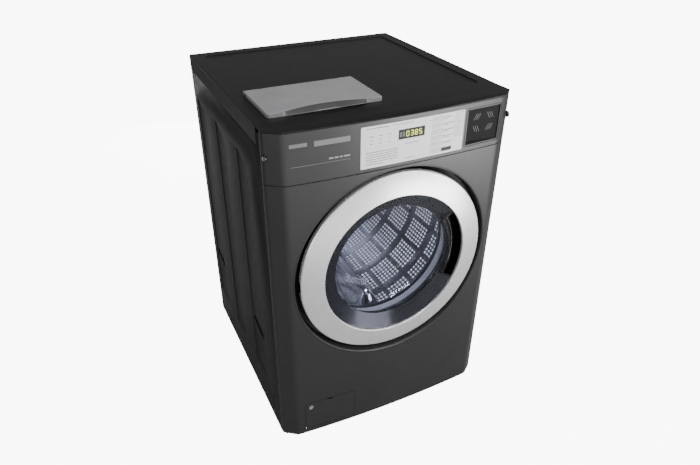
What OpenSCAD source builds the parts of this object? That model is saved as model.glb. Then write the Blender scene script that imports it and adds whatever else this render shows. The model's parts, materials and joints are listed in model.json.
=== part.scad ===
// Commercial front-loading washing machine with a top detergent dispenser.
// +Z is up, the front faces -Y, and the origin is on the floor under the middle of the machine.

/* [Cabinet] */
// Width over the top panel
top_w = 686; // [680:1:692]
// Width over the side panels
cab_w = 682; // [676:1:684]
// Y of the line where the flat sides end and the front corners begin
front_y = -330; // [-334:1:-326]
// Y of the rear panel's outer face
rear_y = 344; // [340:1:350]
// Height of the cabinet's lower edge above the floor
cab_z0 = 10; // [8:1:14]
// Height of the top panel
top_z = 984; // [980:1:990]
// Height of the seam between the front panel and the control panel
seam_z = 851; // [848:1:854]
// Height of the control panel's upper edge
panel_z1 = 979; // [976:1:980]
// Width of the slanted front corner
bevel_x = 39; // [34:1:42]
// Depth of the slanted front corner
bevel_y = 29; // [26:1:32]
// How far the front face bulges forward in the middle
bulge = 12; // [8:1:14]
// Thickness of the painted sheet
sheet = 1.5; // [1.2:0.1:2]
// Height of the top panel's side skirt
skirt_h = 44; // [36:1:50]

/* [Door] */
// Height of the door and drum axis
axis_z = 553; // [550:1:556]
// Outer radius of the silver ring
ring_ro = 275.5; // [274:0.5:277]
// Inner radius of the silver ring
ring_ri = 213; // [210:1:216]
// Radius of the round recess that the door closes into
dish_r = 290; // [289:0.5:292]
// Y of the recess floor
dish_y = -326; // [-328:1:-324]
// Start angle of the handle pocket
grip_a0 = -27; // [-30:1:-20]
// End angle of the handle pocket
grip_a1 = 36; // [30:1:40]

/* [Controls] */
// Left edge of the white label
label_x0 = -113.5; // [-116:0.5:-110]
// Right edge of the white label
label_x1 = 176.5; // [174:0.5:178]
// Lower edge of the white label
label_z0 = 861; // [858:1:863]
// Upper edge of the white label
label_z1 = 967; // [965:1:970]
// Width of a program button
button_w = 30; // [26:1:32]
// Height of a program button
button_h = 10; // [8:0.5:11]
// Spacing of the program buttons
button_pitch = 16.2; // [15:0.1:17]
// Number of program buttons
button_n = 6; // [6:1:6]

/* [Drum] */
// Inner radius of the drum
drum_r = 270; // [260:1:272]
// Radius of the drum's mouth
mouth_r = 196; // [190:1:200]
// Y of the drum's front wall
drum_y0 = -278; // [-280:1:-274]
// Y of the drum's rear wall
drum_y1 = 212; // [200:1:216]
// Inner radius of the tub
tub_r = 286; // [284:1:288]
// Radius of the drive shaft
shaft_r = 15; // [12:0.5:18]

/* [Dispenser] */
// Left edge of the dispenser lid
lid_x0 = -303; // [-306:1:-300]
// Right edge of the dispenser lid
lid_x1 = -3; // [-6:1:0]
// Front edge of the dispenser lid
lid_y0 = -270; // [-273:1:-268]
// Rear edge of the dispenser lid
lid_y1 = -83; // [-86:1:-80]

/* [Hidden] */

eps = 0.01;
fine = 180;        // facets of the large turned parts
mid = 64;          // facets of the small round parts
run = 0.05;        // radial clearance of a pin in its bore
side_x = cab_w / 2;
side_in = side_x - sheet;
top_x = top_w / 2;
seam_gap = 2;
seam1_y = -298;                    // seam between the top panel and the front trim
return_y = front_y + 13;           // rear end of the front corners' short side returns
face_x = side_x - bevel_x;         // where the slanted corner meets the front face
face_y = front_y - bevel_y;
nose_y = face_y - bulge;           // foremost line of the front face
face_r = (face_x * face_x + bulge * bulge) / (2 * bulge);
skin = 3;                          // wall of the front and control panels
black = [0.13, 0.13, 0.14];
graphite = [0.30, 0.30, 0.31];
silver = [0.82, 0.83, 0.84];

// ---------------------------------------------------------------- helpers

module rrect(x0, y0, x1, y1, r) {
    translate([x0 + r, y0]) square([x1 - x0 - 2 * r, y1 - y0]);
    translate([x0, y0 + r]) square([x1 - x0, y1 - y0 - 2 * r]);
    for (x = [x0 + r, x1 - r], y = [y0 + r, y1 - r]) translate([x, y]) circle(r, $fn = 32);
}

module block(lo, hi) translate(lo) cube(hi - lo);

// A plate drawn in X and Z, between two values of Y
module wall_xz(y0, y1) translate([0, y1, 0]) rotate([90, 0, 0]) linear_extrude(y1 - y0) children();

// A plate drawn in Y and Z, between two values of X
module wall_yz(x0, x1) translate([x0, 0, 0]) rotate([90, 0, 90]) linear_extrude(x1 - x0) children();

// A ring turned about the door axis from points of radius and Y
module turned(pts, a0 = 0, a1 = 360)
    translate([0, 0, axis_z]) rotate([90, a1 - a0 < 360 ? -a0 : 0, 0])
        rotate_extrude(angle = a1 - a0, $fn = fine) polygon([for (p = pts) [p[0], -p[1]]]);

// A cylinder along Y through a point of X and Z
module rod_y(x, z, y0, y1, r, facets = mid)
    translate([x, y1, z]) rotate([90, 0, 0]) cylinder(h = y1 - y0, r = r, $fn = facets);

// A cylinder along X through a point of Y and Z
module rod_x(y, z, x0, x1, r, facets = mid)
    translate([x0, y, z]) rotate([0, 90, 0]) cylinder(h = x1 - x0, r = r, $fn = facets);

module both_sides() {
    children();
    mirror([1, 0, 0]) children();
}

// Plan of the machine's front, from the side returns to the bulged face
module front_plan(push = 0) translate([0, push]) intersection() {
    polygon([[-side_x, return_y], [-side_x, front_y], [-face_x, face_y], [-face_x, nose_y - 5],
        [face_x, nose_y - 5], [face_x, face_y], [side_x, front_y], [side_x, return_y]]);
    union() {
        translate([0, nose_y + face_r]) circle(face_r, $fn = 720);
        translate([-side_x, face_y]) square([cab_w, return_y - face_y]);
    }
}

// The front skin in plan, with its side returns
module skin_plan() {
    difference() {
        front_plan();
        front_plan(skin);
        translate([-side_in, front_y]) square([2 * side_in, bevel_y + skin]);
    }
    both_sides() translate([side_in - 14, front_y - 1.5]) square([14, 1.5]);
}

function face_at(x) = nose_y + face_r - sqrt(face_r * face_r - x * x);

// ---------------------------------------------------------------- cabinet

rib_w = 100;
rib_depth = 3;
rib_rear = [-107, 101, 307];       // Y of each pressed panel's rear edge
rib_z0 = 128;
rib_z1 = 862;
slot_ribs = [0, 2];                // which pressed panels carry a slot
slot_len = 96;
slot_w = 20;
slot_z = 290;
slot_tilt = 17;

module rib_shape(y1, grow)
    polygon([[y1 - rib_w - grow, rib_z0 - grow], [y1 + grow, rib_z0 - grow], [y1 + grow, rib_z1 + grow],
        [y1 - rib_w - grow, rib_z1 - 26 + grow]]);

module slot_shape(y1) translate([y1 - rib_w / 2 - 4, slot_z]) rotate(slot_tilt) {
    square([slot_len - slot_w, slot_w], center = true);
    for (s = [-1, 1]) translate([s * (slot_len - slot_w) / 2, 0]) circle(slot_w / 2, $fn = mid);
}

module right_side() {
    side_z1 = top_z - 12;
    y0 = return_y + 1;
    difference() {
        union() {
            block([side_in, y0, cab_z0], [side_x, rear_y - sheet, side_z1]);
            block([side_x - 22, y0, cab_z0], [side_x, y0 + sheet, side_z1]);
            for (y = rib_rear) wall_yz(side_in - rib_depth, side_x) rib_shape(y, sheet);
        }
        for (y = rib_rear) wall_yz(side_x - rib_depth, side_x + 1) rib_shape(y, 0);
        for (i = slot_ribs) wall_yz(side_in - rib_depth - 1, side_x + 1) slot_shape(rib_rear[i]);
    }
}

module right_side_panel() color(black) right_side();

module left_side_panel() color(black) mirror([1, 0, 0]) right_side();

valve_x = [-250, -185];
valve_z = 922;
valve_r = 13.1;
collar_r = 17;
drain_x = 200;
drain_z = 905;
drain_r = 16;
gland_x = 268;
gland_z = 925;
rear_cover_w = 330;
rear_cover_z = [360, 740];

module rear_panel() color(black) difference() {
    block([-side_x, rear_y - sheet, cab_z0], [side_x, rear_y, top_z - 12]);
    wall_xz(rear_y - 5, rear_y + 5)
        rrect(-rear_cover_w / 2 + 18, rear_cover_z[0] + 18, rear_cover_w / 2 - 18, rear_cover_z[1] - 18, 20);
    for (x = valve_x) rod_y(x, valve_z, rear_y - 5, rear_y + 5, collar_r + 0.5);
    rod_y(drain_x, drain_z, rear_y - 5, rear_y + 5, drain_r + 0.5);
    rod_y(gland_x, gland_z, rear_y - 5, rear_y + 5, 10.5);
}

module rear_cover() color(black) {
    wall_xz(rear_y, rear_y + sheet)
        rrect(-rear_cover_w / 2, rear_cover_z[0], rear_cover_w / 2, rear_cover_z[1], 24);
    for (x = [-1, 1], z = [rear_cover_z[0] + 9, axis_z, rear_cover_z[1] - 9])
        rod_y(x * (rear_cover_w / 2 - 9), z, rear_y + sheet, rear_y + sheet + 3, 4, 32);
}

foot_x = 295;
foot_y = [-285, 295];
stud_r = 5;
base_z1 = 38;

module at_feet() for (x = [-foot_x, foot_x], y = foot_y) translate([x, y, 0]) children();

damper_x = 150;
damper_y = [-120, 130];
damper_z0 = 40;

module base_frame() color([0.45, 0.46, 0.48]) difference() {
    union() {
        difference() {
            block([-side_in, return_y + 1 + sheet, cab_z0], [side_in, rear_y - sheet, base_z1]);
            block([2 - side_in, return_y + 3 + sheet, cab_z0 + 2],
                [side_in - 2, rear_y - sheet - 2, base_z1 + 1]);
        }
        at_feet() translate([0, 0, cab_z0 + 1]) cylinder(h = 24, r = 16, $fn = mid);
        for (x = [-damper_x, damper_x], y = damper_y)
            block([x - 22, y - 22, cab_z0 + 1], [x + 22, y + 22, damper_z0]);
    }
    at_feet() translate([0, 0, cab_z0 - 1]) cylinder(h = 50, r = stud_r + run, $fn = mid);
}

plate = 4;                         // thickness of the top panel
inset = 2;                         // depth of the pressed field in the top
inset_x = 303;
inset_y = [-250, 310];
edge_r = 5;                        // radius of the top panel's upper edges
hole_x = [-291, -15];              // opening under the dispenser lid
hole_y = [-264, -96];
lens_r = 270;                      // radius of the finger recess in front of the lid
lens_y = -293;
lens_x = -146;
ear_x = [-256, -50];               // middle of each lid hinge ear
ear_w = 12;
ear_r = 4;                         // radius of each lid hinge ear
pivot_y = lid_y1 - 5.2;
pivot_z = top_z + 5.6;
top_rear_y = rear_y + 5;

module top_section(half_w, z0, r) {
    translate([-half_w, z0]) square([2 * half_w, top_z - r - z0]);
    translate([-half_w + r, top_z - r - eps]) square([2 * half_w - 2 * r, r + eps]);
    for (s = [-1, 1]) translate([s * (half_w - r), top_z - r]) circle(r, $fn = mid);
}

module lens_hole() intersection() {
    translate([lens_x, lens_y + lens_r]) circle(lens_r, $fn = 360);
    translate([hole_x[0] + 8, lens_y - 1]) square([hole_x[1] - hole_x[0] - 16, hole_y[0] - lens_y + 3]);
}

module dispenser_hole() {
    rrect(hole_x[0], hole_y[0], hole_x[1], hole_y[1], 8);
    lens_hole();
    for (x = ear_x) translate([x - ear_w / 2 - 1, hole_y[1] - 2])
        square([ear_w + 2, lid_y1 - 0.6 - (hole_y[1] - 2)]);
}

module top_panel() color(black) difference() {
    intersection() {
        wall_xz(seam1_y, top_rear_y) top_section(top_x, top_z - skirt_h, edge_r);
        union() {
            wall_yz(-top_x, top_x) {
                translate([seam1_y, top_z - skirt_h]) square([top_rear_y - edge_r - seam1_y, skirt_h]);
                translate([seam1_y, top_z - skirt_h]) square([top_rear_y - seam1_y, skirt_h - edge_r]);
                translate([top_rear_y - edge_r, top_z - edge_r]) circle(edge_r, $fn = mid);
            }
        }
        translate([0, 0, top_z - skirt_h - 1]) linear_extrude(skirt_h + 2)
            rrect(-top_x, seam1_y - 20, top_x, top_rear_y, 14);
    }
    block([-side_x - 0.3, seam1_y - 1, top_z - skirt_h - 1], [side_x + 0.3, rear_y + 0.3, top_z - plate]);
    translate([0, 0, top_z - inset]) linear_extrude(inset + 1)
        rrect(-inset_x, inset_y[0], inset_x, inset_y[1], 14);
    translate([0, 0, top_z - plate - 1]) linear_extrude(plate + 2) dispenser_hole();
}

module top_front_trim() color([0.2, 0.2, 0.21]) intersection() {
    union() {
        translate([0, 0, panel_z1 - 1]) linear_extrude(20) front_plan();
        block([-side_x, return_y - 1, panel_z1 - 1], [side_x, seam1_y - 0.6, top_z + 1]);
    }
    wall_yz(-side_x, side_x) polygon([[seam1_y - 0.6, top_z], [nose_y + 26, top_z - 0.4],
        [nose_y + 10, top_z - 1], [nose_y + 3, top_z - 2], [nose_y, top_z - 3.4],
        [nose_y, panel_z1 + 1.4], [seam1_y - 0.6, panel_z1 + 1.4]]);
}

// Opening in the front panel for the service cover
serv_x = [-277, -118];
serv_z = [24, 130];

module front_panel() color(graphite) {
    difference() {
        translate([0, 0, cab_z0]) linear_extrude(seam_z - seam_gap / 2 - cab_z0) skin_plan();
        rod_y(0, axis_z, nose_y - 5, front_y + 20, dish_r, fine);
        wall_xz(nose_y - 5, face_y + 20) rrect(serv_x[0], serv_z[0], serv_x[1], serv_z[1], 5);
    }
    intersection() {
        translate([0, 0, cab_z0]) linear_extrude(seam_z - seam_gap / 2 - cab_z0) front_plan();
        turned([[dish_r, nose_y - 1], [dish_r + 2, nose_y - 1], [dish_r + 2, return_y], [dish_r, return_y]]);
    }
    difference() {
        turned([[204, dish_y], [dish_r + 2, dish_y], [dish_r + 2, dish_y + 2.5], [204, dish_y + 2.5]]);
        block([250, dish_y - 1, axis_z - 12], [278, dish_y + 4, axis_z + 12]);
    }
}

// ---------------------------------------------------------------- controls

button_x = 95;
button_z = [for (i = [0:button_n - 1]) 955.5 - i * button_pitch - (i == button_n - 1 ? 2 : 0)];
start_x = [149, 173];
start_z = [902, 963];
lcd_x = [-14, 59];
lcd_z = [921, 946];
reader_x = [188, 292];
reader_z = [868, 962];
reader_y = -357;
hole_gap = 0.5;
label_t = 0.8;

module button_window(i, grow)
    rrect(button_x - button_w / 2 - grow, button_z[i] - button_h / 2 - grow,
        button_x + button_w / 2 + grow, button_z[i] + button_h / 2 + grow, 2);

module start_window(grow)
    rrect(start_x[0] - grow, start_z[0] - grow, start_x[1] + grow, start_z[1] + grow, 2.5);

module face_holes(grow) {
    for (i = [0:button_n - 1]) button_window(i, grow);
    start_window(grow);
    translate([lcd_x[0] - grow + 0.3, lcd_z[0] - grow + 0.3])
        square([lcd_x[1] - lcd_x[0] + 2 * grow - 0.6, lcd_z[1] - lcd_z[0] + 2 * grow - 0.6]);
}

// A curved sheet along the front face, from out in front of it to in behind it
module face_sheet(out, in) difference() {
    intersection() {
        wall_xz(nose_y - 8, face_y + 10) children();
        translate([0, nose_y + face_r, label_z0 - 20]) cylinder(h = 140, r = face_r + out, $fn = 720);
    }
    translate([0, nose_y + face_r, label_z0 - 21]) cylinder(h = 142, r = face_r - in, $fn = 720);
}

screw_y = front_y - 3;
screw_z = 918;

module control_panel() color(graphite) {
    z0 = seam_z + seam_gap / 2;
    difference() {
        union() {
            translate([0, 0, z0]) linear_extrude(panel_z1 - z0) skin_plan();
            for (z = [z0, panel_z1 - 2]) translate([0, 0, z]) linear_extrude(2) difference() {
                front_plan();
                translate([-side_x, nose_y + 36]) square([cab_w, 60]);
            }
            intersection() {
                wall_xz(nose_y, reader_y + 4)
                    rrect(reader_x[0] - 3, reader_z[0] - 3, reader_x[1] + 3, reader_z[1] + 3, 7);
                translate([0, 0, z0]) linear_extrude(panel_z1 - z0) front_plan();
            }
        }
        wall_xz(nose_y - 5, reader_y + 6) rrect(reader_x[0], reader_z[0], reader_x[1], reader_z[1], 5);
        wall_xz(nose_y - 5, face_y + 16) face_holes(hole_gap);
        both_sides() {
            rod_x(screw_y, screw_z, side_x - 6, side_x + 2, 8);
            rod_x(screw_y, screw_z, side_x - 20, side_x, 3.2);
        }
    }
}

module control_label() color([0.93, 0.94, 0.94]) face_sheet(label_t, -eps) difference() {
    rrect(label_x0, label_z0, label_x1, label_z1, 3);
    face_holes(hole_gap);
}

module display_window() color([0.05, 0.06, 0.06]) face_sheet(0.6, 2.4)
    translate([lcd_x[0], lcd_z[0]]) square([lcd_x[1] - lcd_x[0], lcd_z[1] - lcd_z[0]]);

module reader_plate() color([0.09, 0.09, 0.1]) wall_xz(reader_y, reader_y + 3)
    rrect(reader_x[0] + 0.2, reader_z[0] + 0.2, reader_x[1] - 0.2, reader_z[1] - 0.2, 5);

module button(x) {
    y0 = face_at(x) - 1.6;
    wall_xz(y0, y0 + 7) children();
}

module program_button(i) color([0.95, 0.95, 0.96]) button(button_x) button_window(i, 0);

module start_button() color([0.9, 0.92, 0.95]) button(start_x[1]) start_window(0);

module security_screws() color(silver) both_sides() {
    rod_x(screw_y, screw_z, side_x - 14, side_x - 2, 3, 32);
    translate([side_x - 2, screw_y, screw_z]) rotate([0, 90, 0]) rotate_extrude($fn = 48)
        polygon(concat([[0, 0]], [for (a = [0:15:90]) [6 * cos(a), 3.2 * sin(a)]]));
}

// ---------------------------------------------------------------- dispenser

cup_x = [[-287, -152], [-148, -86], [-82, -20]];
cup_y = [-258, -100];
cup_z0 = 886;
housing_z1 = top_z - plate;

module dispenser_housing() color(black) difference() {
    union() {
        block([hole_x[0] - 3, seam1_y + 1, housing_z1 - 12], [hole_x[1] + 3, lid_y1 + 4, housing_z1]);
        block([cup_x[0][0] - 3, cup_y[0] - 3, cup_z0 - 3], [cup_x[2][1] + 3, cup_y[1] + 3, housing_z1 - 12]);
        for (x = ear_x) {
            block([x - ear_w / 2, pivot_y - ear_r, housing_z1 - 12],
                [x + ear_w / 2, pivot_y + ear_r, pivot_z]);
            rod_x(pivot_y, pivot_z, x - ear_w / 2, x + ear_w / 2, ear_r, 48);
            rod_x(pivot_y, pivot_z, x - ear_w / 2 - 7, x + ear_w / 2 + 7, 2, 48);
        }
    }
    for (c = cup_x) translate([0, 0, cup_z0]) linear_extrude(120) rrect(c[0], cup_y[0], c[1], cup_y[1], 6);
    translate([0, 0, housing_z1 - 8]) linear_extrude(20) lens_hole();
}

lid_t = 10.8;
lid_z0 = top_z + 0.2;
scoop_w = 262;
scoop_s = 27;
scoop_r = (scoop_w * scoop_w / 4 + scoop_s * scoop_s) / (2 * scoop_s);

module dispenser_lid() color([0.62, 0.62, 0.64]) difference() {
    union() {
        translate([0, 0, lid_z0]) linear_extrude(lid_t) difference() {
            rrect(lid_x0, lid_y0, lid_x1, lid_y1, 9);
            translate([lid_x0 - 1, pivot_y]) square([lid_x1 - lid_x0 + 2, 20]);
        }
        rod_x(pivot_y, pivot_z, lid_x0, lid_x1, 5.3, 48);
    }
    translate([(lid_x0 + lid_x1) / 2, lid_y0 + scoop_s - scoop_r, lid_z0 + 2])
        cylinder(h = lid_t, r1 = scoop_r - scoop_s + 2, r2 = scoop_r + 5, $fn = 360);
    translate([0, 0, lid_z0 - 1]) linear_extrude(lid_t - 2)
        rrect(lid_x0 + 4, lid_y0 + 38, lid_x1 - 4, pivot_y - 9, 6);
    for (x = ear_x) {
        translate([x, 0, lid_z0])
            block([-ear_w / 2 - 0.4, pivot_y - 8.5, -1], [ear_w / 2 + 0.4, lid_y1 + 2, lid_t - 1]);
        rod_x(pivot_y, pivot_z, x - ear_w / 2 - 8, x + ear_w / 2 + 8, 2 + run, 48);
    }
}

// ---------------------------------------------------------------- door

ring_front = -376.8;
window_y = -370.5;
frame_back = -345;
hinge_x = -270;
hinge_y = -359;
knuckle_r = 3;
pin_r = 1.6;
hinge_h = 24;                      // half height of the whole hinge
ear_h = 12;                        // half height of the fixed knuckle
latch_x = 262;
latch_y = -338.5;

ring_section = [[ring_ri, ring_front + 0.8], [ring_ri + 1.2, ring_front], [ring_ro - 2.5, -364.8],
    [ring_ro, -362.4], [ring_ro, -351], [ring_ro - 1.3, -351], [ring_ro - 1.3, -361.9],
    [ring_ro - 3, -362.9], [ring_ri + 2, -374.6], [ring_ri + 2, -368.4], [ring_ri, -368.4]];
ring_joint = 0.025;                // half angle of the joint between two ring segments

// One long segment and three short ones beside the handle
module door_ring() color(silver) difference() {
    for (span = [[-60, -20], [-20, 20], [20, 60], [60, 300]])
        turned(ring_section, span[0] + ring_joint, span[1] - ring_joint);
    block([-ring_ro - 1, -362, axis_z - ear_h - 1.5], [-ring_ro + 12, -340, axis_z + ear_h + 1.5]);
}

grip_section = [[176, -366], [176, -341], [250, -341], [250, -358.9], [214.8, -368.2], [213.2, -368.2]];
grip_hollow = [[178.5, -380], [178.5, -343.5], [247.5, -343.5], [247.5, -356.8], [212.6, -366],
    [212.6, -380]];

module door_frame() color([0.2, 0.21, 0.23]) {
    difference() {
        turned([[172, -350], [212.5, -366.3], [214.8, -367.4], [262, -354.9], [262, frame_back],
            [172, frame_back]]);
        turned([[175.5, -380], [251, -380], [251, -340], [175.5, -340]], grip_a0 - 1, grip_a1 + 1);
        block([-262.5, -370, axis_z - ear_h - 1.5], [-244, frame_back + 1, axis_z + ear_h + 1.5]);
    }
    for (s = [-1, 1]) difference() {
        translate([0, 0, axis_z + s * 9.5])
            block([latch_x - 7, frame_back - eps, -1.5], [latch_x + 7, latch_y + 4, 1.5]);
        translate([latch_x, latch_y, axis_z - 20]) cylinder(h = 40, r = 2, $fn = 48);
    }
    translate([latch_x, latch_y, axis_z - 11]) cylinder(h = 22, r = 2, $fn = 48);
}

module door_window() color([0.6, 0.65, 0.75, 0.4]) difference() {
    turned([[0, -375], [60, -374.8], [120, -374], [170, -372.8], [212.6, window_y], [212.6, -368.6],
        [170, -370.4], [120, -371.4], [60, -372.1], [0, -372.3]]);
    turned([[177, -380], [230, -380], [230, -360], [177, -360]], grip_a0, grip_a1);
}

module door_bowl() color([0.7, 0.75, 0.8, 0.4]) turned([[171.6, -350], [171.6, frame_back], [168, -340],
    [160, -300], [151, -270], [139, -254], [120, -246], [60, -241], [0, -240], [0, -245], [60, -246],
    [118, -251], [135, -258], [146, -272], [155, -301], [162.6, -338], [163, -350]]);

module door_handle_pocket() color([0.05, 0.05, 0.05]) difference() {
    turned(grip_section, grip_a0, grip_a1);
    turned(grip_hollow, grip_a0 + 1, grip_a1 - 1);
}

module door_hinge_arm() color([0.2, 0.2, 0.2]) difference() {
    union() {
        block([-266, frame_back, axis_z - hinge_h], [-226, frame_back + 3, axis_z - ear_h - 1]);
        block([-266, frame_back, axis_z + ear_h + 1], [-226, frame_back + 3, axis_z + hinge_h]);
        block([-243, frame_back, axis_z - hinge_h], [-226, frame_back + 3, axis_z + hinge_h]);
        for (z = [axis_z - hinge_h, axis_z + ear_h + 1])
            translate([0, 0, z]) linear_extrude(hinge_h - ear_h - 1) {
                translate([hinge_x, hinge_y]) circle(knuckle_r, $fn = 48);
                polygon([[hinge_x - knuckle_r, hinge_y], [hinge_x + knuckle_r, hinge_y], [-263, -353],
                    [-263, frame_back], [-262, frame_back + 3], [-267, frame_back + 3]]);
            }
    }
    translate([hinge_x, hinge_y, axis_z - 60]) cylinder(h = 120, r = pin_r + run, $fn = 48);
}

module hinge_bracket() color([0.25, 0.25, 0.26]) {
    translate([0, 0, axis_z - ear_h]) linear_extrude(2 * ear_h) {
        translate([hinge_x, hinge_y]) circle(knuckle_r, $fn = 48);
        polygon([[hinge_x - 1, hinge_y + 3], [hinge_x + 3, hinge_y - 1], [-253, -344], [-246, -334],
            [-238, dish_y - 3], [-222, dish_y - 3], [-222, dish_y], [-250, dish_y], [-257, -338]]);
    }
    translate([hinge_x, hinge_y, axis_z - hinge_h]) cylinder(h = 2 * hinge_h, r = pin_r, $fn = 48);
}

module door_latch_hook() color(silver) difference() {
    union() {
        translate([latch_x, latch_y, axis_z - 7.5]) cylinder(h = 15, r = 5, $fn = 48);
        translate([0, 0, axis_z - 7.5]) linear_extrude(15)
            polygon([[latch_x - 4, latch_y], [latch_x + 4, latch_y], [latch_x + 4, -316],
                [latch_x + 11, -312], [latch_x + 3, -304], [latch_x - 4, -306]]);
    }
    translate([latch_x, latch_y, axis_z - 20]) cylinder(h = 40, r = 2 + run, $fn = 48);
}

module door_lock() color([0.8, 0.8, 0.78]) difference() {
    block([240, dish_y + 2.5, axis_z - 40], [dish_r - 4, -294, axis_z + 40]);
    block([249, dish_y + 1, axis_z - 12], [282, -298, axis_z + 12]);
}

module door_gasket() color([0.45, 0.46, 0.48]) turned([[178, -334], [203.6, -331], [203.6, -318], [213, -318],
    [213, -295.5], [204.5, -295.5], [204.5, -303], [209.5, -303], [209.5, -314.5], [197, -314.5], [197, -328],
    [178, -331]]);

// ---------------------------------------------------------------- service access

pump_x = -190;
pump_z = 80;
pump_y0 = -338;
lock_x = -259;
lock_z = 112;
lock_r = 7;
hinge_z = serv_z[0] + 23;
cover_y = -352;

module service_cover() color(graphite) difference() {
    union() {
        intersection() {
            translate([0, 0, serv_z[0]]) linear_extrude(serv_z[1] - serv_z[0]) difference() {
                front_plan();
                front_plan(skin);
            }
            wall_xz(nose_y - 5, face_y + 12)
                rrect(serv_x[0] + 0.7, serv_z[0] + 2.5, serv_x[1] - 0.7, serv_z[1] - 0.7, 4);
        }
        for (x = [-262, -142]) {
            block([x, face_at(x + 9) + 1, hinge_z - 3], [x + 9, cover_y, hinge_z + 3]);
            rod_x(cover_y, hinge_z, x, x + 9, 3, 48);
        }
    }
    for (x = [-262, -142]) rod_x(cover_y, hinge_z, x - 2, x + 11, 1.5 + run, 48);
    rod_y(lock_x, lock_z, -380, -340, lock_r + run);
    wall_xz(-380, -340) rrect(-208, serv_z[1] - 5, -190, serv_z[1] + 2, 2);
}

module service_lock() color(silver) difference() {
    union() {
        rod_y(lock_x, lock_z, -363.2, -352, lock_r, 48);
        block([lock_x - 3, -352, lock_z - 3], [lock_x + 22, -349, lock_z + 3]);
    }
    block([lock_x - 1, -364, lock_z - 4], [lock_x + 1, -361.4, lock_z + 4]);
}

module pump_housing() color([0.85, 0.85, 0.83]) difference() {
    union() {
        rod_y(pump_x, pump_z, pump_y0 + 8, -236, 36);
        rod_y(pump_x, pump_z, -236, -170, 28);
        translate([pump_x, -262, pump_z]) cylinder(h = 82, r = 20, $fn = mid);
        block([pump_x - 20, -300, cab_z0 + 2], [pump_x + 20, -180, pump_z - 20]);
        for (x = [-262, -142]) {
            block([x + 9.4, cover_y - 4, hinge_z - 3], [x + 12.4, pump_y0 + 60, hinge_z + 3]);
            rod_x(cover_y, hinge_z, x + 1, x + 12.4, 1.5, 48);
        }
        block([-252.6, pump_y0 + 40, hinge_z - 3], [-126, pump_y0 + 60, hinge_z + 3]);
    }
    rod_y(pump_x, pump_z, pump_y0 - 1, -242, 32);
    translate([pump_x, -262, pump_z]) cylinder(h = 100, r = 16, $fn = mid);
    rod_y(pump_x, pump_z, -250, -200, 3 + run, 48);
}

module pump_filter() color([0.3, 0.45, 0.7]) {
    rod_y(pump_x, pump_z, pump_y0, pump_y0 + 7.7, 35);
    block([pump_x - 26, pump_y0 - 8, pump_z - 4], [pump_x + 26, pump_y0 + 1, pump_z + 4]);
    difference() {
        rod_y(pump_x, pump_z, pump_y0 + 7, -268, 31);
        rod_y(pump_x, pump_z, pump_y0 + 10, -250, 28);
        for (a = [0:45:315]) translate([pump_x, 0, pump_z]) rotate([0, a, 0])
            block([-5, pump_y0 + 18, 20], [5, -280, 40]);
    }
}

module pump_impeller() color([0.2, 0.2, 0.2]) {
    rod_y(pump_x, pump_z, -256, -204, 3, 48);
    rod_y(pump_x, pump_z, -248, -244, 14);
    for (a = [0:60:300]) translate([pump_x, 0, pump_z]) rotate([0, a, 0]) block([-1, -256, 2], [1, -244, 24]);
}

// ---------------------------------------------------------------- tub, drum and drive

tub_wall = 6;
tub_y0 = -290;
tub_split = -60;
tub_y1 = 236;
hub_y1 = 284;
neck_x = -190;
neck_y = -262;
neck_z0 = 288;                     // lower end of the tub's drain neck

module damper_lug(y) for (s = [-1, 1]) translate([s * damper_x, y, 284]) cylinder(h = 30, r = 14, $fn = mid);

module tub_core(y0, y1) rod_y(0, axis_z, y0, y1, tub_r, fine);

module tub_front() color([0.6, 0.62, 0.64]) difference() {
    union() {
        turned([[204, tub_y0], [tub_r + tub_wall, tub_y0], [tub_r + tub_wall, tub_split - 5],
            [tub_r + 16, tub_split - 5], [tub_r + 16, tub_split], [tub_r, tub_split], [tub_r, tub_y0 + 5],
            [200, tub_y0 + 5], [200, -305], [204, -305]]);
        damper_lug(damper_y[0]);
        translate([neck_x, neck_y, neck_z0]) cylinder(h = 70, r = 24, $fn = mid);
    }
    tub_core(tub_y0 + 5, tub_split);
    translate([neck_x, neck_y, neck_z0 - 5]) cylinder(h = 117, r = 20, $fn = mid);
}

spring_x = 232;
spring_y = -20;
spring_z0 = 792;

module tub_rear() color([0.6, 0.62, 0.64]) difference() {
    union() {
        turned([[tub_r, tub_split], [tub_r + 16, tub_split], [tub_r + 16, tub_split + 5],
            [tub_r + tub_wall, tub_split + 5], [tub_r + tub_wall, tub_y1 + tub_wall], [56, tub_y1 + tub_wall],
            [48, hub_y1], [31, hub_y1], [31, tub_y1], [tub_r, tub_y1]]);
        for (a = [0:45:315]) translate([0, 0, axis_z]) rotate([0, a, 0])
            block([52, tub_y1 + tub_wall - 1, -3], [tub_r, tub_y1 + tub_wall + 5, 3]);
        damper_lug(damper_y[1]);
        for (s = [-1, 1]) translate([s * spring_x, spring_y, 0]) block([-10, -4, 720], [10, 4, spring_z0]);
    }
    tub_core(tub_split, tub_y1);
    rod_y(0, axis_z, tub_y1 - 5, hub_y1 + 5, 31, fine);
}

module weight(a0, a1, r1)
    turned([[tub_r + tub_wall, -282], [r1, -282], [r1, -210], [tub_r + tub_wall, -210]], a0, a1);

module counterweights() color([0.55, 0.55, 0.54]) {
    weight(58, 122, 316);
    weight(246, 294, 330);
}

module bearings() color(silver) for (y = [tub_y1 + 2, hub_y1 - 20])
    turned([[shaft_r + run, y], [31, y], [31, y + 18], [shaft_r + run, y + 18]]);

drum_sheet = 1.5;
lip_r = 5;

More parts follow.
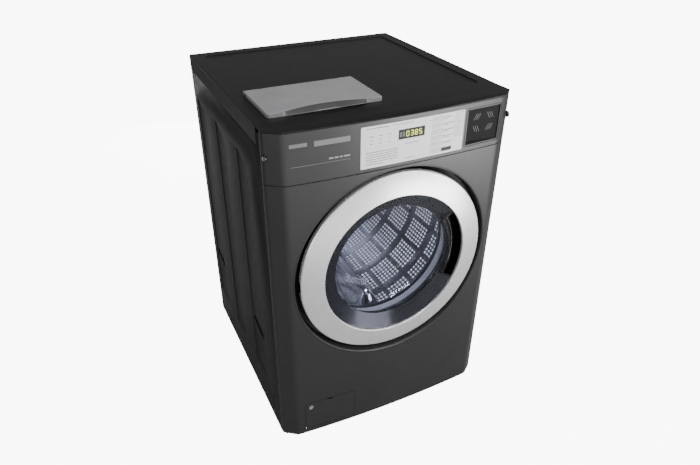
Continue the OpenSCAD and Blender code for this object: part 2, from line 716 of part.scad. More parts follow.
module drum_shell() color(silver) turned([[mouth_r, drum_y0], [drum_r + drum_sheet - 8, drum_y0],
    [drum_r + drum_sheet, drum_y0 + 8], [drum_r + drum_sheet, drum_y1], [drum_r, drum_y1],
    [drum_r, drum_y0 + 9], [drum_r - 8, drum_y0 + drum_sheet], [mouth_r + lip_r, drum_y0 + drum_sheet],
    [mouth_r + lip_r - 1, drum_y0 + 5], [mouth_r + 1, drum_y0 + 5]]);

arm_n = 3;
spider_hub_r = 44;

module drum_rear() color(silver) difference() {
    union() {
        rod_y(0, axis_z, drum_y1, drum_y1 + 2, drum_r + drum_sheet, fine);
        rod_y(0, axis_z, drum_y1 + 1, drum_y1 + 20, spider_hub_r, fine);
        for (i = [0:arm_n - 1]) translate([0, 0, axis_z]) rotate([0, i * 360 / arm_n + 30, 0])
            block([20, drum_y1 + 1, -20], [drum_r - 6, drum_y1 + 16, 20]);
    }
    rod_y(0, axis_z, drum_y1 + 4, drum_y1 + 40, shaft_r, fine);
}

lifter_n = 3;
lifter_h = 74;
lifter_t = 2;

module lifter_outline(t) intersection() {
    circle(drum_r - 0.2 - t, $fn = fine);
    polygon([[t - 52, -drum_r - 5], [52 - t, -drum_r - 5], [36 - t, -drum_r + 18],
        [20 - t, -drum_r + lifter_h - 12], [10 - t / 2, -drum_r + lifter_h - t],
        [t / 2 - 10, -drum_r + lifter_h - t], [t - 20, -drum_r + lifter_h - 12], [t - 36, -drum_r + 18]]);
}

module lifter() difference() {
    wall_xz(drum_y0 + 24, drum_y1 - 14) lifter_outline(0);
    wall_xz(drum_y0 + 26, drum_y1 - 16) lifter_outline(lifter_t);
}

module drum_lifters() color(silver) for (i = [0:lifter_n - 1])
    translate([0, 0, axis_z]) rotate([0, i * 360 / lifter_n, 0]) lifter();

module drum_shaft() color([0.6, 0.6, 0.6]) {
    rod_y(0, axis_z, drum_y1 + 4, 308, shaft_r, fine);
    rod_y(0, axis_z, 308, 316, 19, 6);
}

stator_y = [248, 292];

module stator() color([0.7, 0.45, 0.25]) difference() {
    turned([[58, stator_y[0]], [112, stator_y[0]], [112, stator_y[1]], [92, stator_y[1]],
        [92, stator_y[0] + 6], [58, stator_y[0] + 6]]);
    for (i = [0:23]) translate([0, 0, axis_z]) rotate([0, i * 15, 0])
        block([96, stator_y[0] + 6, -3], [120, stator_y[1] + 1, 3]);
}

module rotor() color([0.75, 0.75, 0.76]) turned([[shaft_r, 300], [shaft_r, 308], [30, 308], [40, 304],
    [132, 304], [132, 254], [114, 254], [114, 290], [126, 290], [126, 300]]);

// ---------------------------------------------------------------- suspension

rail_z = [934, 962];

module cross_rail() color([0.45, 0.46, 0.48]) {
    block([-side_in, spring_y - 16, rail_z[0]], [side_in, spring_y - 14, rail_z[1]]);
    block([-side_in, spring_y - 16, rail_z[0]], [side_in, spring_y + 16, rail_z[0] + 2]);
}

coil_turns = 11;
coil_r = 15;
wire_r = 2;
coil_steps = 10;
wire_n = 6;
coil_rings = coil_turns * coil_steps;

function coil_point(i, k) = let (a = 360 * i / coil_steps, b = 360 * k / wire_n,
        z = spring_z0 + 3 + (rail_z[0] - spring_z0 - 6) * i / coil_rings)
    [(coil_r + wire_r * cos(b)) * cos(a), (coil_r + wire_r * cos(b)) * sin(a), z + wire_r * sin(b)];

module coil() polyhedron(
    points = [for (i = [0:coil_rings], k = [0:wire_n - 1]) coil_point(i, k)],
    faces = concat([[for (k = [0:wire_n - 1]) k]],
        [for (i = [0:coil_rings - 1], k = [0:wire_n - 1]) let (n = (k + 1) % wire_n)
            [i * wire_n + k, (i + 1) * wire_n + k, (i + 1) * wire_n + n, i * wire_n + n]],
        [[for (k = [wire_n - 1:-1:0]) coil_rings * wire_n + k]]));

module suspension_springs() color([0.3, 0.3, 0.3])
    for (s = [-1, 1]) translate([s * spring_x, spring_y, 0]) coil();

module at_dampers() for (x = [-damper_x, damper_x], y = damper_y) translate([x, y, 0]) children();

module damper_cylinders() color([0.15, 0.15, 0.15]) at_dampers() difference() {
    translate([0, 0, damper_z0]) cylinder(h = 165, r = 17, $fn = mid);
    translate([0, 0, damper_z0 + 50]) cylinder(h = 140, r = 7.3, $fn = mid);
}

module damper_rods() color(silver) at_dampers() translate([0, 0, 130]) cylinder(h = 154, r = 7, $fn = mid);

hose_z = [150, neck_z0 + 4];
hose_n = 8;
hose_pitch = (hose_z[1] - hose_z[0] - 30) / hose_n;

module sump_hose() color([0.15, 0.15, 0.15]) translate([neck_x, neck_y, 0]) rotate_extrude($fn = mid) {
    translate([20.3, hose_z[0]]) square([4, 16]);
    for (i = [0:hose_n - 1]) translate([20.3, hose_z[0] + 15 + i * hose_pitch])
        polygon([[0, 0], [4, 0], [10, hose_pitch / 2], [4, hose_pitch], [0, hose_pitch],
            [6, hose_pitch / 2]]);
    translate([20.3, hose_z[1] - 15]) square([3.4, 11]);
    translate([20.3, hose_z[1] - 7]) square([7, 3]);
    translate([24.3, hose_z[1] - 6]) square([3, 12]);
}

// ---------------------------------------------------------------- services at the rear

module inlet_valves() color([0.9, 0.9, 0.88]) for (x = valve_x) difference() {
    union() {
        rod_y(x, valve_z, 330, rear_y + 33, valve_r);
        rod_y(x, valve_z, 330, rear_y + 2, collar_r);
        block([x - 17, 290, valve_z - 20], [x + 17, 334, valve_z + 20]);
        translate([x, 308, valve_z - 40]) cylinder(h = 24, r = 8, $fn = mid);
    }
    rod_y(x, valve_z, 340, 380, 9);
}

module drain_outlet() color([0.2, 0.2, 0.2]) difference() {
    union() {
        rod_y(drain_x, drain_z, 330, rear_y + 26, drain_r);
        rod_y(drain_x, drain_z, 336, rear_y - sheet, drain_r + 6);
        rod_y(drain_x, drain_z, rear_y, rear_y + 3, drain_r + 6);
    }
    rod_y(drain_x, drain_z, 320, 380, 12.5);
}

module power_gland() color([0.1, 0.1, 0.1]) difference() {
    union() {
        rod_y(gland_x, gland_z, 334, 362, 10);
        rod_y(gland_x, gland_z, rear_y, rear_y + 6, 15, 6);
    }
    rod_y(gland_x, gland_z, 330, 370, 5.5);
}

module control_board_case() color([0.75, 0.75, 0.72]) difference() {
    block([170, 120, 868], [316, 300, 920]);
    block([172.5, 122.5, 870.5], [313.5, 297.5, 917.5]);
    block([169, 190, 888], [174, 230, 900]);
}

module foot(x, y) color([0.12, 0.12, 0.12]) translate([x, y, 0]) {
    cylinder(h = 5, r = 21, $fn = mid);
    translate([0, 0, 5]) cylinder(h = 3, r1 = 21, r2 = 15, $fn = mid);
    translate([0, 0, 4]) cylinder(h = 36, r = stud_r, $fn = mid);
}

left_side_panel();
right_side_panel();
rear_panel();
rear_cover();
base_frame();
top_panel();
top_front_trim();
front_panel();
control_panel();
control_label();
display_window();
reader_plate();
security_screws();
dispenser_housing();
door_gasket();
hinge_bracket();
door_lock();
suspension_springs();
cross_rail();
damper_cylinders();
pump_housing();
sump_hose();
inlet_valves();
drain_outlet();
control_board_case();
power_gland();
service_cover();
service_lock();
start_button();
program_button(0);  // program_button_1
program_button(1);  // program_button_2
program_button(2);  // program_button_3
program_button(3);  // program_button_4
program_button(4);  // program_button_5
program_button(5);  // program_button_6
dispenser_lid();
door_ring();
door_frame();
door_window();
door_bowl();
door_handle_pocket();
door_hinge_arm();
door_latch_hook();
tub_front();
tub_rear();
counterweights();
stator();
damper_rods();
bearings();
drum_shell();
drum_rear();
drum_lifters();
drum_shaft();
rotor();
pump_impeller();
pump_filter();
foot(-foot_x, foot_y[0]);  // foot_front_left
foot(foot_x, foot_y[0]);  // foot_front_right
foot(-foot_x, foot_y[1]);  // foot_rear_left
foot(foot_x, foot_y[1]);  // foot_rear_right
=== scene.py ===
# Looks of a front-loading commercial washing machine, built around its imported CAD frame.
# Everything is in metres, in the CAD frame: +Z up, the front faces -Y, the door axis runs along Y.
import json
import math
import random

import bmesh
import bpy
from mathutils import Matrix, Vector
from mathutils.geometry import tessellate_polygon


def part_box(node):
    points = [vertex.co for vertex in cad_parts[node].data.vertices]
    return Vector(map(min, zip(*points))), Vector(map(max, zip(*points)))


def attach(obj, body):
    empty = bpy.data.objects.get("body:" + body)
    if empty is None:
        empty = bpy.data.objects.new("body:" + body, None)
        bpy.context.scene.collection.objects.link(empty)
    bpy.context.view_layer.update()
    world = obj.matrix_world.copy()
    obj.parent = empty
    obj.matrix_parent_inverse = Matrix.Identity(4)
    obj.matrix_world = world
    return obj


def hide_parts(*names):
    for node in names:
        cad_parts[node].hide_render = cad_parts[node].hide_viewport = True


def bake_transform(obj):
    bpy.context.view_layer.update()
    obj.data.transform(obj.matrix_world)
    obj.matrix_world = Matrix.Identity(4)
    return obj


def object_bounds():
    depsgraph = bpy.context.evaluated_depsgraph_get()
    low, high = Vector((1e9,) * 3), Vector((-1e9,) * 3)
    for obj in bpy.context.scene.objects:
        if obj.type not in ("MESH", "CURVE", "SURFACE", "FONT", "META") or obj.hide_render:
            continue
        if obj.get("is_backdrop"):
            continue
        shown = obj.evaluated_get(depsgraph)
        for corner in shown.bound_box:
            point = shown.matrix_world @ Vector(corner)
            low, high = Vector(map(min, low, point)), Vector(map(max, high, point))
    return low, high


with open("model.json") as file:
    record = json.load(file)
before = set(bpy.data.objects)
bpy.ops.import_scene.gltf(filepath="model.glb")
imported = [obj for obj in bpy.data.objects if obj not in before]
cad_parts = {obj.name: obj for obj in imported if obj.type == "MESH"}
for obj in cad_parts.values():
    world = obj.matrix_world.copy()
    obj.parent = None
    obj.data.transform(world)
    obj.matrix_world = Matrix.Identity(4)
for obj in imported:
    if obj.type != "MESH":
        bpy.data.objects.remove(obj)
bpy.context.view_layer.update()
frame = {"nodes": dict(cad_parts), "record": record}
nodes = frame["nodes"]
mm = 0.001


# ---------------------------------------------------------------- places taken from the frame

def lo(node):
    """Lowest corner of a node at rest."""
    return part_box(node)[0]


def hi(node):
    """Highest corner of a node at rest."""
    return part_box(node)[1]


AXIS_Z = (lo("drum_shell").z + hi("drum_shell").z) / 2
NOSE_Y = lo("control_panel").y
FACE_HALF = 302 * mm      # half width of the bulged front face
BULGE = 12 * mm
FACE_R = (FACE_HALF ** 2 + BULGE ** 2) / (2 * BULGE)
LABEL_T = 0.8 * mm
RECESS_Y = -326 * mm      # flat floor of the well behind the door
POCKET_LINE_Y = -348 * mm


def face_y(x):
    """Y of the bulged front face at x."""
    return NOSE_Y + FACE_R - math.sqrt(FACE_R ** 2 - x * x)


# ---------------------------------------------------------------- mesh helpers

def smooth(obj, angle=35):
    """Smooth shading that keeps edges sharper than angle."""
    for p in obj.data.polygons:
        p.use_smooth = True
    with bpy.context.temp_override(object=obj, active_object=obj, selected_objects=[obj],
                                   selected_editable_objects=[obj]):
        bpy.ops.object.shade_smooth_by_angle(angle=math.radians(angle))


def build(name, verts, faces, material, clean=None):
    """A linked object from a mesh, which clean mends first."""
    mesh = bpy.data.meshes.new(name)
    mesh.from_pydata([tuple(v) for v in verts], [], faces)
    if clean:
        bm = bmesh.new()
        bm.from_mesh(mesh)
        clean(bm)
        bm.to_mesh(mesh)
        bm.free()
    mesh.materials.append(material)
    obj = bpy.data.objects.new(name, mesh)
    bpy.context.scene.collection.objects.link(obj)
    return obj


def face_outward(bm):
    bmesh.ops.recalc_face_normals(bm, faces=bm.faces)


def make(name, verts, faces, slot, body, material=None, replaces=(), angle=35):
    """A new piece from a mesh, on its body, in its slot's material unless another is given."""
    obj = build(name, verts, faces, material or MATERIALS[slot], face_outward)
    smooth(obj, angle)
    if body:
        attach(obj, body)
    if replaces:
        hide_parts(*replaces)
    return obj


def circle(n):
    """Cosine and sine at n even steps round a circle."""
    return [(math.cos(2 * math.pi * k / n), math.sin(2 * math.pi * k / n)) for k in range(n)]


def rounded(points, radius, steps=4):
    """A closed outline with its corners rounded."""
    out = []
    n = len(points)
    for i in range(n):
        p = Vector(points[i])
        a = Vector(points[i - 1]) - p
        b = Vector(points[(i + 1) % n]) - p
        r = min(radius, 0.4 * a.length, 0.4 * b.length)
        start, end = p + a.normalized() * r, p + b.normalized() * r
        for k in range(steps + 1):
            t = k / steps
            out.append(start * (1 - t) ** 2 + p * 2 * t * (1 - t) + end * t ** 2)
    return out


def loft(rings, close=False):
    """The vertices of rings of equal length, in order, and the faces between them."""
    verts = [v for ring_points in rings for v in ring_points]
    n = len(rings[0])
    faces = []
    for i in range(len(rings) if close else len(rings) - 1):
        j = (i + 1) % len(rings)
        for k in range(n):
            q = (k + 1) % n
            faces.append((i * n + k, i * n + q, j * n + q, j * n + k))
    return verts, faces


def add_tube(verts, faces, rings):
    """Adds a tube through the rings, with both ends closed."""
    first, n = len(verts), len(rings[0])
    more, sides = loft(rings)
    verts += more
    faces += [tuple(first + k for k in face) for face in sides]
    last = first + len(more) - n
    faces.append(tuple(range(first, first + n)))
    faces.append(tuple(range(last + n - 1, last - 1, -1)))


def turned(outline, segments, y_of=lambda a, p: p.y):
    """An outline of radius and Y turned about the door axis; y_of may change Y at an angle."""
    rings = []
    for i in range(segments):
        a = 2 * math.pi * i / segments
        rings.append([(p.x * math.cos(a), y_of(a, p), AXIS_Z + p.x * math.sin(a)) for p in outline])
    return loft(rings, close=True)


def lathe(name, profile, slot, body, radius=0.6 * mm, **more):
    """A turned piece whose profile has rounded corners."""
    verts, faces = turned(rounded(profile, radius), 192)
    return make(name, verts, faces, slot, body, **more)


def modify(obj, kind, **settings):
    """Adds a modifier with its settings."""
    modifier = obj.modifiers.new(kind.lower(), kind)
    for key, value in settings.items():
        setattr(modifier, key, value)


# ---------------------------------------------------------------- materials

def nodes_of(name):
    """A new material, its node tree and its main shader."""
    material = bpy.data.materials.new(name)
    material.use_nodes = True
    tree = material.node_tree
    return material, tree, tree.nodes["Principled BSDF"]


def noise(tree, scale, detail=4, stretch=(1, 1, 1)):
    """Noise in object coordinates; scale is in cells per metre."""
    place = tree.nodes.new("ShaderNodeTexCoord")
    mapping = tree.nodes.new("ShaderNodeMapping")
    mapping.inputs["Scale"].default_value = stretch
    texture = tree.nodes.new("ShaderNodeTexNoise")
    texture.inputs["Scale"].default_value = scale
    texture.inputs["Detail"].default_value = detail
    tree.links.new(place.outputs["Object"], mapping.inputs["Vector"])
    tree.links.new(mapping.outputs["Vector"], texture.inputs["Vector"])
    return texture.outputs["Fac"]


def spread(tree, source, low, high):
    """Maps the useful middle of a noise to low...high."""
    ramp = tree.nodes.new("ShaderNodeMapRange")
    ramp.inputs["From Min"].default_value = 0.3
    ramp.inputs["From Max"].default_value = 0.7
    ramp.inputs["To Min"].default_value = low
    ramp.inputs["To Max"].default_value = high
    tree.links.new(source, ramp.inputs["Value"])
    return ramp.outputs["Result"]


def finish(name, dark, light, rough, metallic=0.0, colour_scale=9, rough_scale=35, stretch=(1, 1, 1),
           bump_scale=500, bump=0.02 * mm, **sockets):
    """A surface whose colour, roughness and relief all vary, each at its own scale."""
    material, tree, shader = nodes_of(name)
    mix = tree.nodes.new("ShaderNodeMix")
    mix.data_type = "RGBA"
    mix.inputs["A"].default_value = (*dark, 1)
    mix.inputs["B"].default_value = (*light, 1)
    tree.links.new(spread(tree, noise(tree, colour_scale, 5, stretch), 0, 1), mix.inputs["Factor"])
    tree.links.new(mix.outputs["Result"], shader.inputs["Base Color"])
    tree.links.new(spread(tree, noise(tree, rough_scale, 4, stretch), *rough), shader.inputs["Roughness"])
    relief = tree.nodes.new("ShaderNodeBump")
    relief.inputs["Distance"].default_value = bump
    relief.inputs["Strength"].default_value = 1
    tree.links.new(noise(tree, bump_scale, 2, stretch), relief.inputs["Height"])
    tree.links.new(relief.outputs["Normal"], shader.inputs["Normal"])
    shader.inputs["Metallic"].default_value = metallic
    for key, value in sockets.items():
        shader.inputs[key.replace("_", " ")].default_value = value
    return material


def grey(v, tint=1.0):
    """A grey whose blue is tint times its red and green."""
    return (v, v, v * tint)


def pane(name, tint, clear, shine):
    """Clear sheet: light passes straight through, and the surface still reflects."""
    material, tree, shader = nodes_of(name)
    tree.nodes.remove(shader)
    through = tree.nodes.new("ShaderNodeBsdfTransparent")
    smear = tree.nodes.new("ShaderNodeMix")
    smear.data_type = "RGBA"
    smear.inputs["A"].default_value = (*tint, 1)
    smear.inputs["B"].default_value = (*[c * clear for c in tint], 1)
    tree.links.new(spread(tree, noise(tree, 6), 0, 1), smear.inputs["Factor"])
    tree.links.new(smear.outputs["Result"], through.inputs["Color"])
    mirror = tree.nodes.new("ShaderNodeBsdfGlossy")
    mirror.inputs["Roughness"].default_value = 0.03
    edge = tree.nodes.new("ShaderNodeLayerWeight")
    edge.inputs["Blend"].default_value = 0.35
    power = tree.nodes.new("ShaderNodeMath")
    power.operation = "POWER"
    power.inputs[1].default_value = 3.2
    share = tree.nodes.new("ShaderNodeMapRange")
    share.inputs["To Min"].default_value = shine
    share.inputs["To Max"].default_value = 0.55
    mixed = tree.nodes.new("ShaderNodeMixShader")
    tree.links.new(edge.outputs["Facing"], power.inputs[0])
    tree.links.new(power.outputs["Value"], share.inputs["Value"])
    tree.links.new(share.outputs["Result"], mixed.inputs["Fac"])
    tree.links.new(through.outputs["BSDF"], mixed.inputs[1])
    tree.links.new(mirror.outputs["BSDF"], mixed.inputs[2])
    tree.links.new(mixed.outputs["Shader"], tree.nodes["Material Output"].inputs["Surface"])
    return material


def glow(name, colour, strength):
    """A lit surface."""
    material = finish(name, colour, [c * 0.9 for c in colour], (0.3, 0.4))
    shader = material.node_tree.nodes["Principled BSDF"]
    shader.inputs["Emission Color"].default_value = (*colour, 1)
    shader.inputs["Emission Strength"].default_value = strength
    return material


MATERIALS = {
    "black_paint": finish("satin_black_enamel", grey(0.0125), grey(0.0135), (0.4, 0.425), colour_scale=3,
                          bump_scale=900, bump=0.008 * mm, Specular_IOR_Level=0.32),
    "trim_paint": finish("satin_black_trim", grey(0.012), grey(0.0135), (0.33, 0.36), colour_scale=3,
                         bump_scale=900, bump=0.008 * mm, Specular_IOR_Level=0.3),
    "graphite_paint": finish("graphite_enamel", grey(0.06), grey(0.064), (0.31, 0.34), 0.6,
                             rough_scale=120, bump_scale=900, bump=0.006 * mm),
    "zinc_steel": finish("galvanised_sheet", grey(0.38), grey(0.52), (0.3, 0.5), 1.0, colour_scale=60),
    "label_white": finish("printed_film", grey(0.94), grey(0.97), (0.32, 0.4), bump_scale=1400,
                          bump=0.006 * mm),
    "display_black": finish("smoked_window", grey(0.006), grey(0.009), (0.14, 0.2), bump=0.002 * mm,
                            Specular_IOR_Level=0.12),
    "reader_black": finish("black_plate", grey(0.009), grey(0.012), (0.5, 0.56), bump_scale=1100,
                           Specular_IOR_Level=0.12),
    "button_white": finish("key_cap", grey(0.72, 1.03), grey(0.78, 1.03), (0.28, 0.36), bump=0.006 * mm),
    "chrome": finish("chrome", grey(0.8), grey(0.86), (0.06, 0.12), 1.0, bump=0.003 * mm),
    "housing_black": finish("moulded_black", grey(0.012), grey(0.02), (0.45, 0.6), bump_scale=1600,
                            bump=0.03 * mm),
    "lid_grey": finish("grained_grey", grey(0.24, 1.03), grey(0.28, 1.03), (0.4, 0.5), bump_scale=1500),
    "gasket_rubber": finish("grey_rubber", grey(0.028, 1.15), grey(0.04, 1.15), (0.42, 0.55),
                            bump_scale=900, bump=0.03 * mm),
    "white_plastic": finish("off_white_plastic", (0.62, 0.61, 0.57), (0.68, 0.67, 0.63), (0.4, 0.5)),
    "ring_silver": finish("satin_silver", grey(0.92), grey(0.96), (0.25, 0.28), 0.62, colour_scale=14,
                          rough_scale=40, bump_scale=1300, bump=0.0008 * mm),
    "frame_dark": finish("glossy_dark_frame", grey(0.012, 1.2), grey(0.017, 1.2), (0.1, 0.14),
                         bump=0.002 * mm, Specular_IOR_Level=0.4),
    "window_glass": pane("tinted_window", (0.9, 0.91, 0.955), 0.985, 0.014),
    "bowl_glass": pane("bowl_glass", (0.95, 0.955, 0.98), 0.985, 0.014),
    "pocket_black": finish("gloss_black", grey(0.006), grey(0.009), (0.06, 0.12), bump=0.003 * mm),
    "tub_plastic": finish("filled_polypropylene", grey(0.36), grey(0.42), (0.5, 0.62)),
    "concrete": finish("cast_concrete", grey(0.28), grey(0.42), (0.8, 0.95), colour_scale=60,
                       bump_scale=260, bump=0.6 * mm),
    "copper": finish("copper_winding", (0.5, 0.2, 0.08), (0.62, 0.28, 0.12), (0.25, 0.4), 1.0,
                     stretch=(1, 1, 14)),
    "bearing_steel": finish("ground_steel", grey(0.5), grey(0.6), (0.18, 0.3), 1.0, stretch=(1, 20, 1)),
    # Stainless steel made far darker than bare steel, as painted shade for the inside of the drum.
    "drum_steel": finish("stainless", grey(0.17, 1.08), grey(0.2, 1.08), (0.27, 0.31), 1.0,
                         colour_scale=30, rough_scale=60, bump=0.001 * mm),
    "rotor_steel": finish("pressed_steel", grey(0.46), grey(0.56), (0.3, 0.42), 1.0),
    "spring_steel": finish("oiled_spring_steel", grey(0.08), grey(0.14), (0.25, 0.4), 0.9),
    "impeller_black": finish("impeller_black", grey(0.02), grey(0.03), (0.45, 0.6)),
    "filter_blue": finish("filter_blue", (0.03, 0.09, 0.26), (0.05, 0.12, 0.32), (0.4, 0.5)),
    "foot_black": finish("foot_rubber", grey(0.012), grey(0.022), (0.6, 0.8), bump_scale=900,
                         bump=0.05 * mm),
}
for subpart in frame["record"]["subparts"]:
    for material_slot in nodes[subpart["node"]].material_slots:
        material_slot.material = MATERIALS[subpart["material_slot"]]

POLISHED = finish("polished_fin", grey(0.62, 1.04), grey(0.7, 1.04), (0.14, 0.18), 1.0, bump=0.002 * mm)
# Pale, nearly non-metallic rims round the drum's holes: a painted highlight, not a colour of the steel.
PAINTED_HIGHLIGHT_RIM = finish("painted_highlight_rim", grey(0.9, 1.03), grey(0.95, 1.03), (0.25, 0.35), 0.15)
INK = finish("grey_ink", grey(0.03), grey(0.05), (0.5, 0.6))
DARK_INK = finish("dark_ink", grey(0.008), grey(0.014), (0.45, 0.55))
PALE_INK = finish("pale_ink", grey(0.2), grey(0.24), (0.35, 0.45), 0.3)
# A dark grey for the slanted face of the lid's scoop: painted shade on the lid's own plastic.
SCOOP_PAINTED_SHADE = finish("scoop_painted_shade", grey(0.05, 1.03), grey(0.06, 1.03), (0.45, 0.55))
INK_ON_BLACK = finish("dim_ink", grey(0.15), grey(0.2), (0.4, 0.5))
LINE_INK = finish("thin_line_ink", grey(0.3), grey(0.36), (0.4, 0.5))
LIT = glow("lit_segment", (0.75, 0.85, 0.08), 1.3)
UNLIT = finish("unlit_segment", grey(0.07, 1.1), grey(0.09, 1.1), (0.3, 0.4))


# ---------------------------------------------------------------- painted sheet metal

SIDE_X = hi("control_panel").x
FRONT_Y = NOSE_Y + BULGE + 29 * mm        # where the flat sides end and the slanted corners begin
RETURN_Y = FRONT_Y + 13 * mm
SKIN = 3 * mm


def fillet(a, p, b, r, steps=6):
    """Points of an arc-like curve that rounds the corner p between a and b."""
    p = Vector(p)
    u, v = (Vector(a) - p).normalized() * r, (Vector(b) - p).normalized() * r
    return [p + u * (1 - t) ** 2 + v * t ** 2 for t in (k / steps for k in range(steps + 1))]


def front_path(xs):
    """Plan of the outer front skin from the left return to the right one, through the given face xs."""
    corner = (-FACE_HALF, NOSE_Y + BULGE)
    side = (-SIDE_X, FRONT_Y)
    left = [Vector((-SIDE_X, RETURN_Y))] + fillet((-SIDE_X, RETURN_Y), side, corner, 7 * mm)
    left += fillet(side, corner, (-FACE_HALF + 40 * mm, face_y(FACE_HALF - 40 * mm)), 9 * mm)
    limit = FACE_HALF - 9.5 * mm
    face = [Vector((x, face_y(x))) for x in sorted(set(xs)) if -limit < x < limit]
    return left + face + [Vector((-p.x, p.y)) for p in reversed(left)]


def weld(bm):
    """Joins doubled points and drops faces without area."""
    bmesh.ops.remove_doubles(bm, verts=bm.verts, dist=0.02 * mm)
    bmesh.ops.dissolve_degenerate(bm, edges=bm.edges, dist=0.01 * mm)


def front_piece(name, verts, faces, node):
    """A single layer of faces given thickness and rounded edges, in place of a node of the front."""
    obj = build(name, verts, faces, MATERIALS["graphite_paint"], weld)
    for p in obj.data.polygons:
        p.use_smooth = True
    modify(obj, "SOLIDIFY", thickness=SKIN, offset=-1, use_even_offset=True)
    modify(obj, "BEVEL", width=0.7 * mm, segments=2, limit_method="ANGLE", angle_limit=math.radians(50))
    modify(obj, "WEIGHTED_NORMAL", keep_sharp=False, weight=60)
    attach(obj, "cabinet")
    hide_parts(node)


DOOR_HOLE_R = 293 * mm


def rounded_span(x, x0, x1, z0, z1, r):
    """Lower and upper edge of a rounded rectangle at x."""
    inside = min(max(x, x0), x1)
    d = max(0.0, x0 + r - inside, inside - (x1 - r))
    drop = r - math.sqrt(max(0.0, r * r - d * d))
    return z0 + drop, z1 - drop


def front_skin():
    """The painted front with its round door opening and the service opening."""
    a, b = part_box("service_cover")
    gap, gap_below, r = 0.7 * mm, 2.5 * mm, 5 * mm
    serv = (a.x - gap, b.x + gap, a.z - gap_below, b.z + gap)
    z0, z1 = lo("front_panel").z, hi("front_panel").z
    circle = [DOOR_HOLE_R * math.cos(math.pi * k / 96) for k in range(97)]
    corner = [serv[i] + s * r * (1 - math.cos(math.pi * k / 12)) for i, s in ((0, 1), (1, -1))
              for k in range(7)]
    path = front_path(circle + corner)
    columns = []
    for p in path:
        reach = DOOR_HOLE_R ** 2 - p.x ** 2
        d = math.sqrt(reach) if reach > 0 and abs(p.y - face_y(min(abs(p.x), FACE_HALF))) < 1e-5 else 0
        low, high = rounded_span(p.x, *serv, r)
        columns.append([z0, low, high, AXIS_Z - d, AXIS_Z + d, z1])
    verts = [(p.x, p.y, z) for p, column in zip(path, columns) for z in column]
    faces = []
    levels = len(columns[0])
    for i in range(len(path) - 1):
        middle = (path[i].x + path[i + 1].x) / 2
        for k in range(levels - 1):
            in_service = k == 1 and serv[0] < middle < serv[1]
            if in_service or k == 3:
                continue
            q = i * levels + k
            faces.append((q, q + levels, q + levels + 1, q + 1))
    front_piece("front_panel_skin", verts, faces, "front_panel")


def door_recess():
    """The round well behind the door, whose rolled lip follows the bulge of the panel."""
    base, rings = RECESS_Y, []
    for c, s in circle(240):
        y = face_y(290 * mm * abs(c))
        outline = [(296, y + 3.2 * mm), (295, y + 0.2 * mm), (293.8, y - 0.9 * mm), (292.2, y - 1.2 * mm),
                   (290.8, y - 0.5 * mm), (290, y + 1.2 * mm), (290, base - 4 * mm), (289, base - 1.2 * mm),
                   (286, base), (208, base), (205, base + 0.8 * mm), (204, base + 2.5 * mm),
                   (292, base + 2.5 * mm), (292, y + 3.2 * mm)]
        rings.append([(r * mm * c, q, AXIS_Z + r * mm * s) for r, q in outline])
    verts, faces = loft(rings, close=True)
    make("door_recess_well", verts, faces, "graphite_paint", "cabinet", angle=40)


def control_skin():
    """The control panel with plain holes behind the label, and the well of the reader plate."""
    z0, z1 = lo("control_panel").z, hi("control_panel").z
    gap = 0.5 * mm
    holes = []
    for node in ("display_window", "start_button", *[f"program_button_{i}" for i in range(1, 7)]):
        a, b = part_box(node)
        holes.append((a.x - gap, b.x + gap, a.z - gap, b.z + gap))
    a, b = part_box("reader_plate")
    holes.append((a.x, b.x, a.z, b.z))
    xs = {x for h in holes for x in h[:2]} | {-FACE_HALF + i * FACE_HALF / 24 for i in range(49)}
    zs = sorted({z0, z1} | {z for h in holes for z in h[2:]})
    path = front_path(xs)
    verts = [(p.x, p.y, z) for p in path for z in zs]
    faces = []
    for i in range(len(path) - 1):
        x = (path[i].x + path[i + 1].x) / 2
        for k in range(len(zs) - 1):
            z = (zs[k] + zs[k + 1]) / 2
            if any(h[0] < x < h[1] and h[2] < z < h[3] for h in holes):
                continue
            q = i * len(zs) + k
            faces.append((q, q + len(zs), q + len(zs) + 1, q + 1))
    front_piece("control_panel_skin", verts, faces, "control_panel")


def rounded_rect(x0, z0, x1, z1, r, steps=6):
    """Outline of a rounded rectangle."""
    out = []
    centres = (x1 - r, z1 - r), (x0 + r, z1 - r), (x0 + r, z0 + r), (x1 - r, z0 + r)
    for quarter, (x, z) in enumerate(centres):
        for k in range(steps + 1):
            a = math.radians(90 * quarter + 90 * k / steps)
            out.append((x + r * math.cos(a), z + r * math.sin(a)))
    return out


def reader_bezel():
    """The raised slanted frame round the blank plate."""
    a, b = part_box("reader_plate")

    def plate_y(x):
        return a.y

    rings = []
    for grow, r, surface, depth in ((5, 9, face_y, 0.4), (4.6, 9, face_y, -0.9), (3.4, 8, face_y, -1.2),
                                    (1, 6, plate_y, -1.4), (0.2, 5, plate_y, -0.6), (0, 5, plate_y, 3),
                                    (5, 9, plate_y, 3)):
        g = grow * mm
        outline = rounded_rect(a.x - g, a.z - g, b.x + g, b.z + g, r * mm)
        rings.append([(x, surface(x) + depth * mm, z) for x, z in outline])
    verts, faces = loft(rings, close=True)
    make("reader_bezel_frame", verts, faces, "graphite_paint", "cabinet", angle=30)


SCOOP_AHEAD = 304.3 * mm  # centre of the scoop's cone, ahead of the lid's front edge
SCOOP_R = 306.3 * mm      # its radius at the height of the lip
SCOOP_SLOPE = 30 / 10.8
LIP = 2 * mm


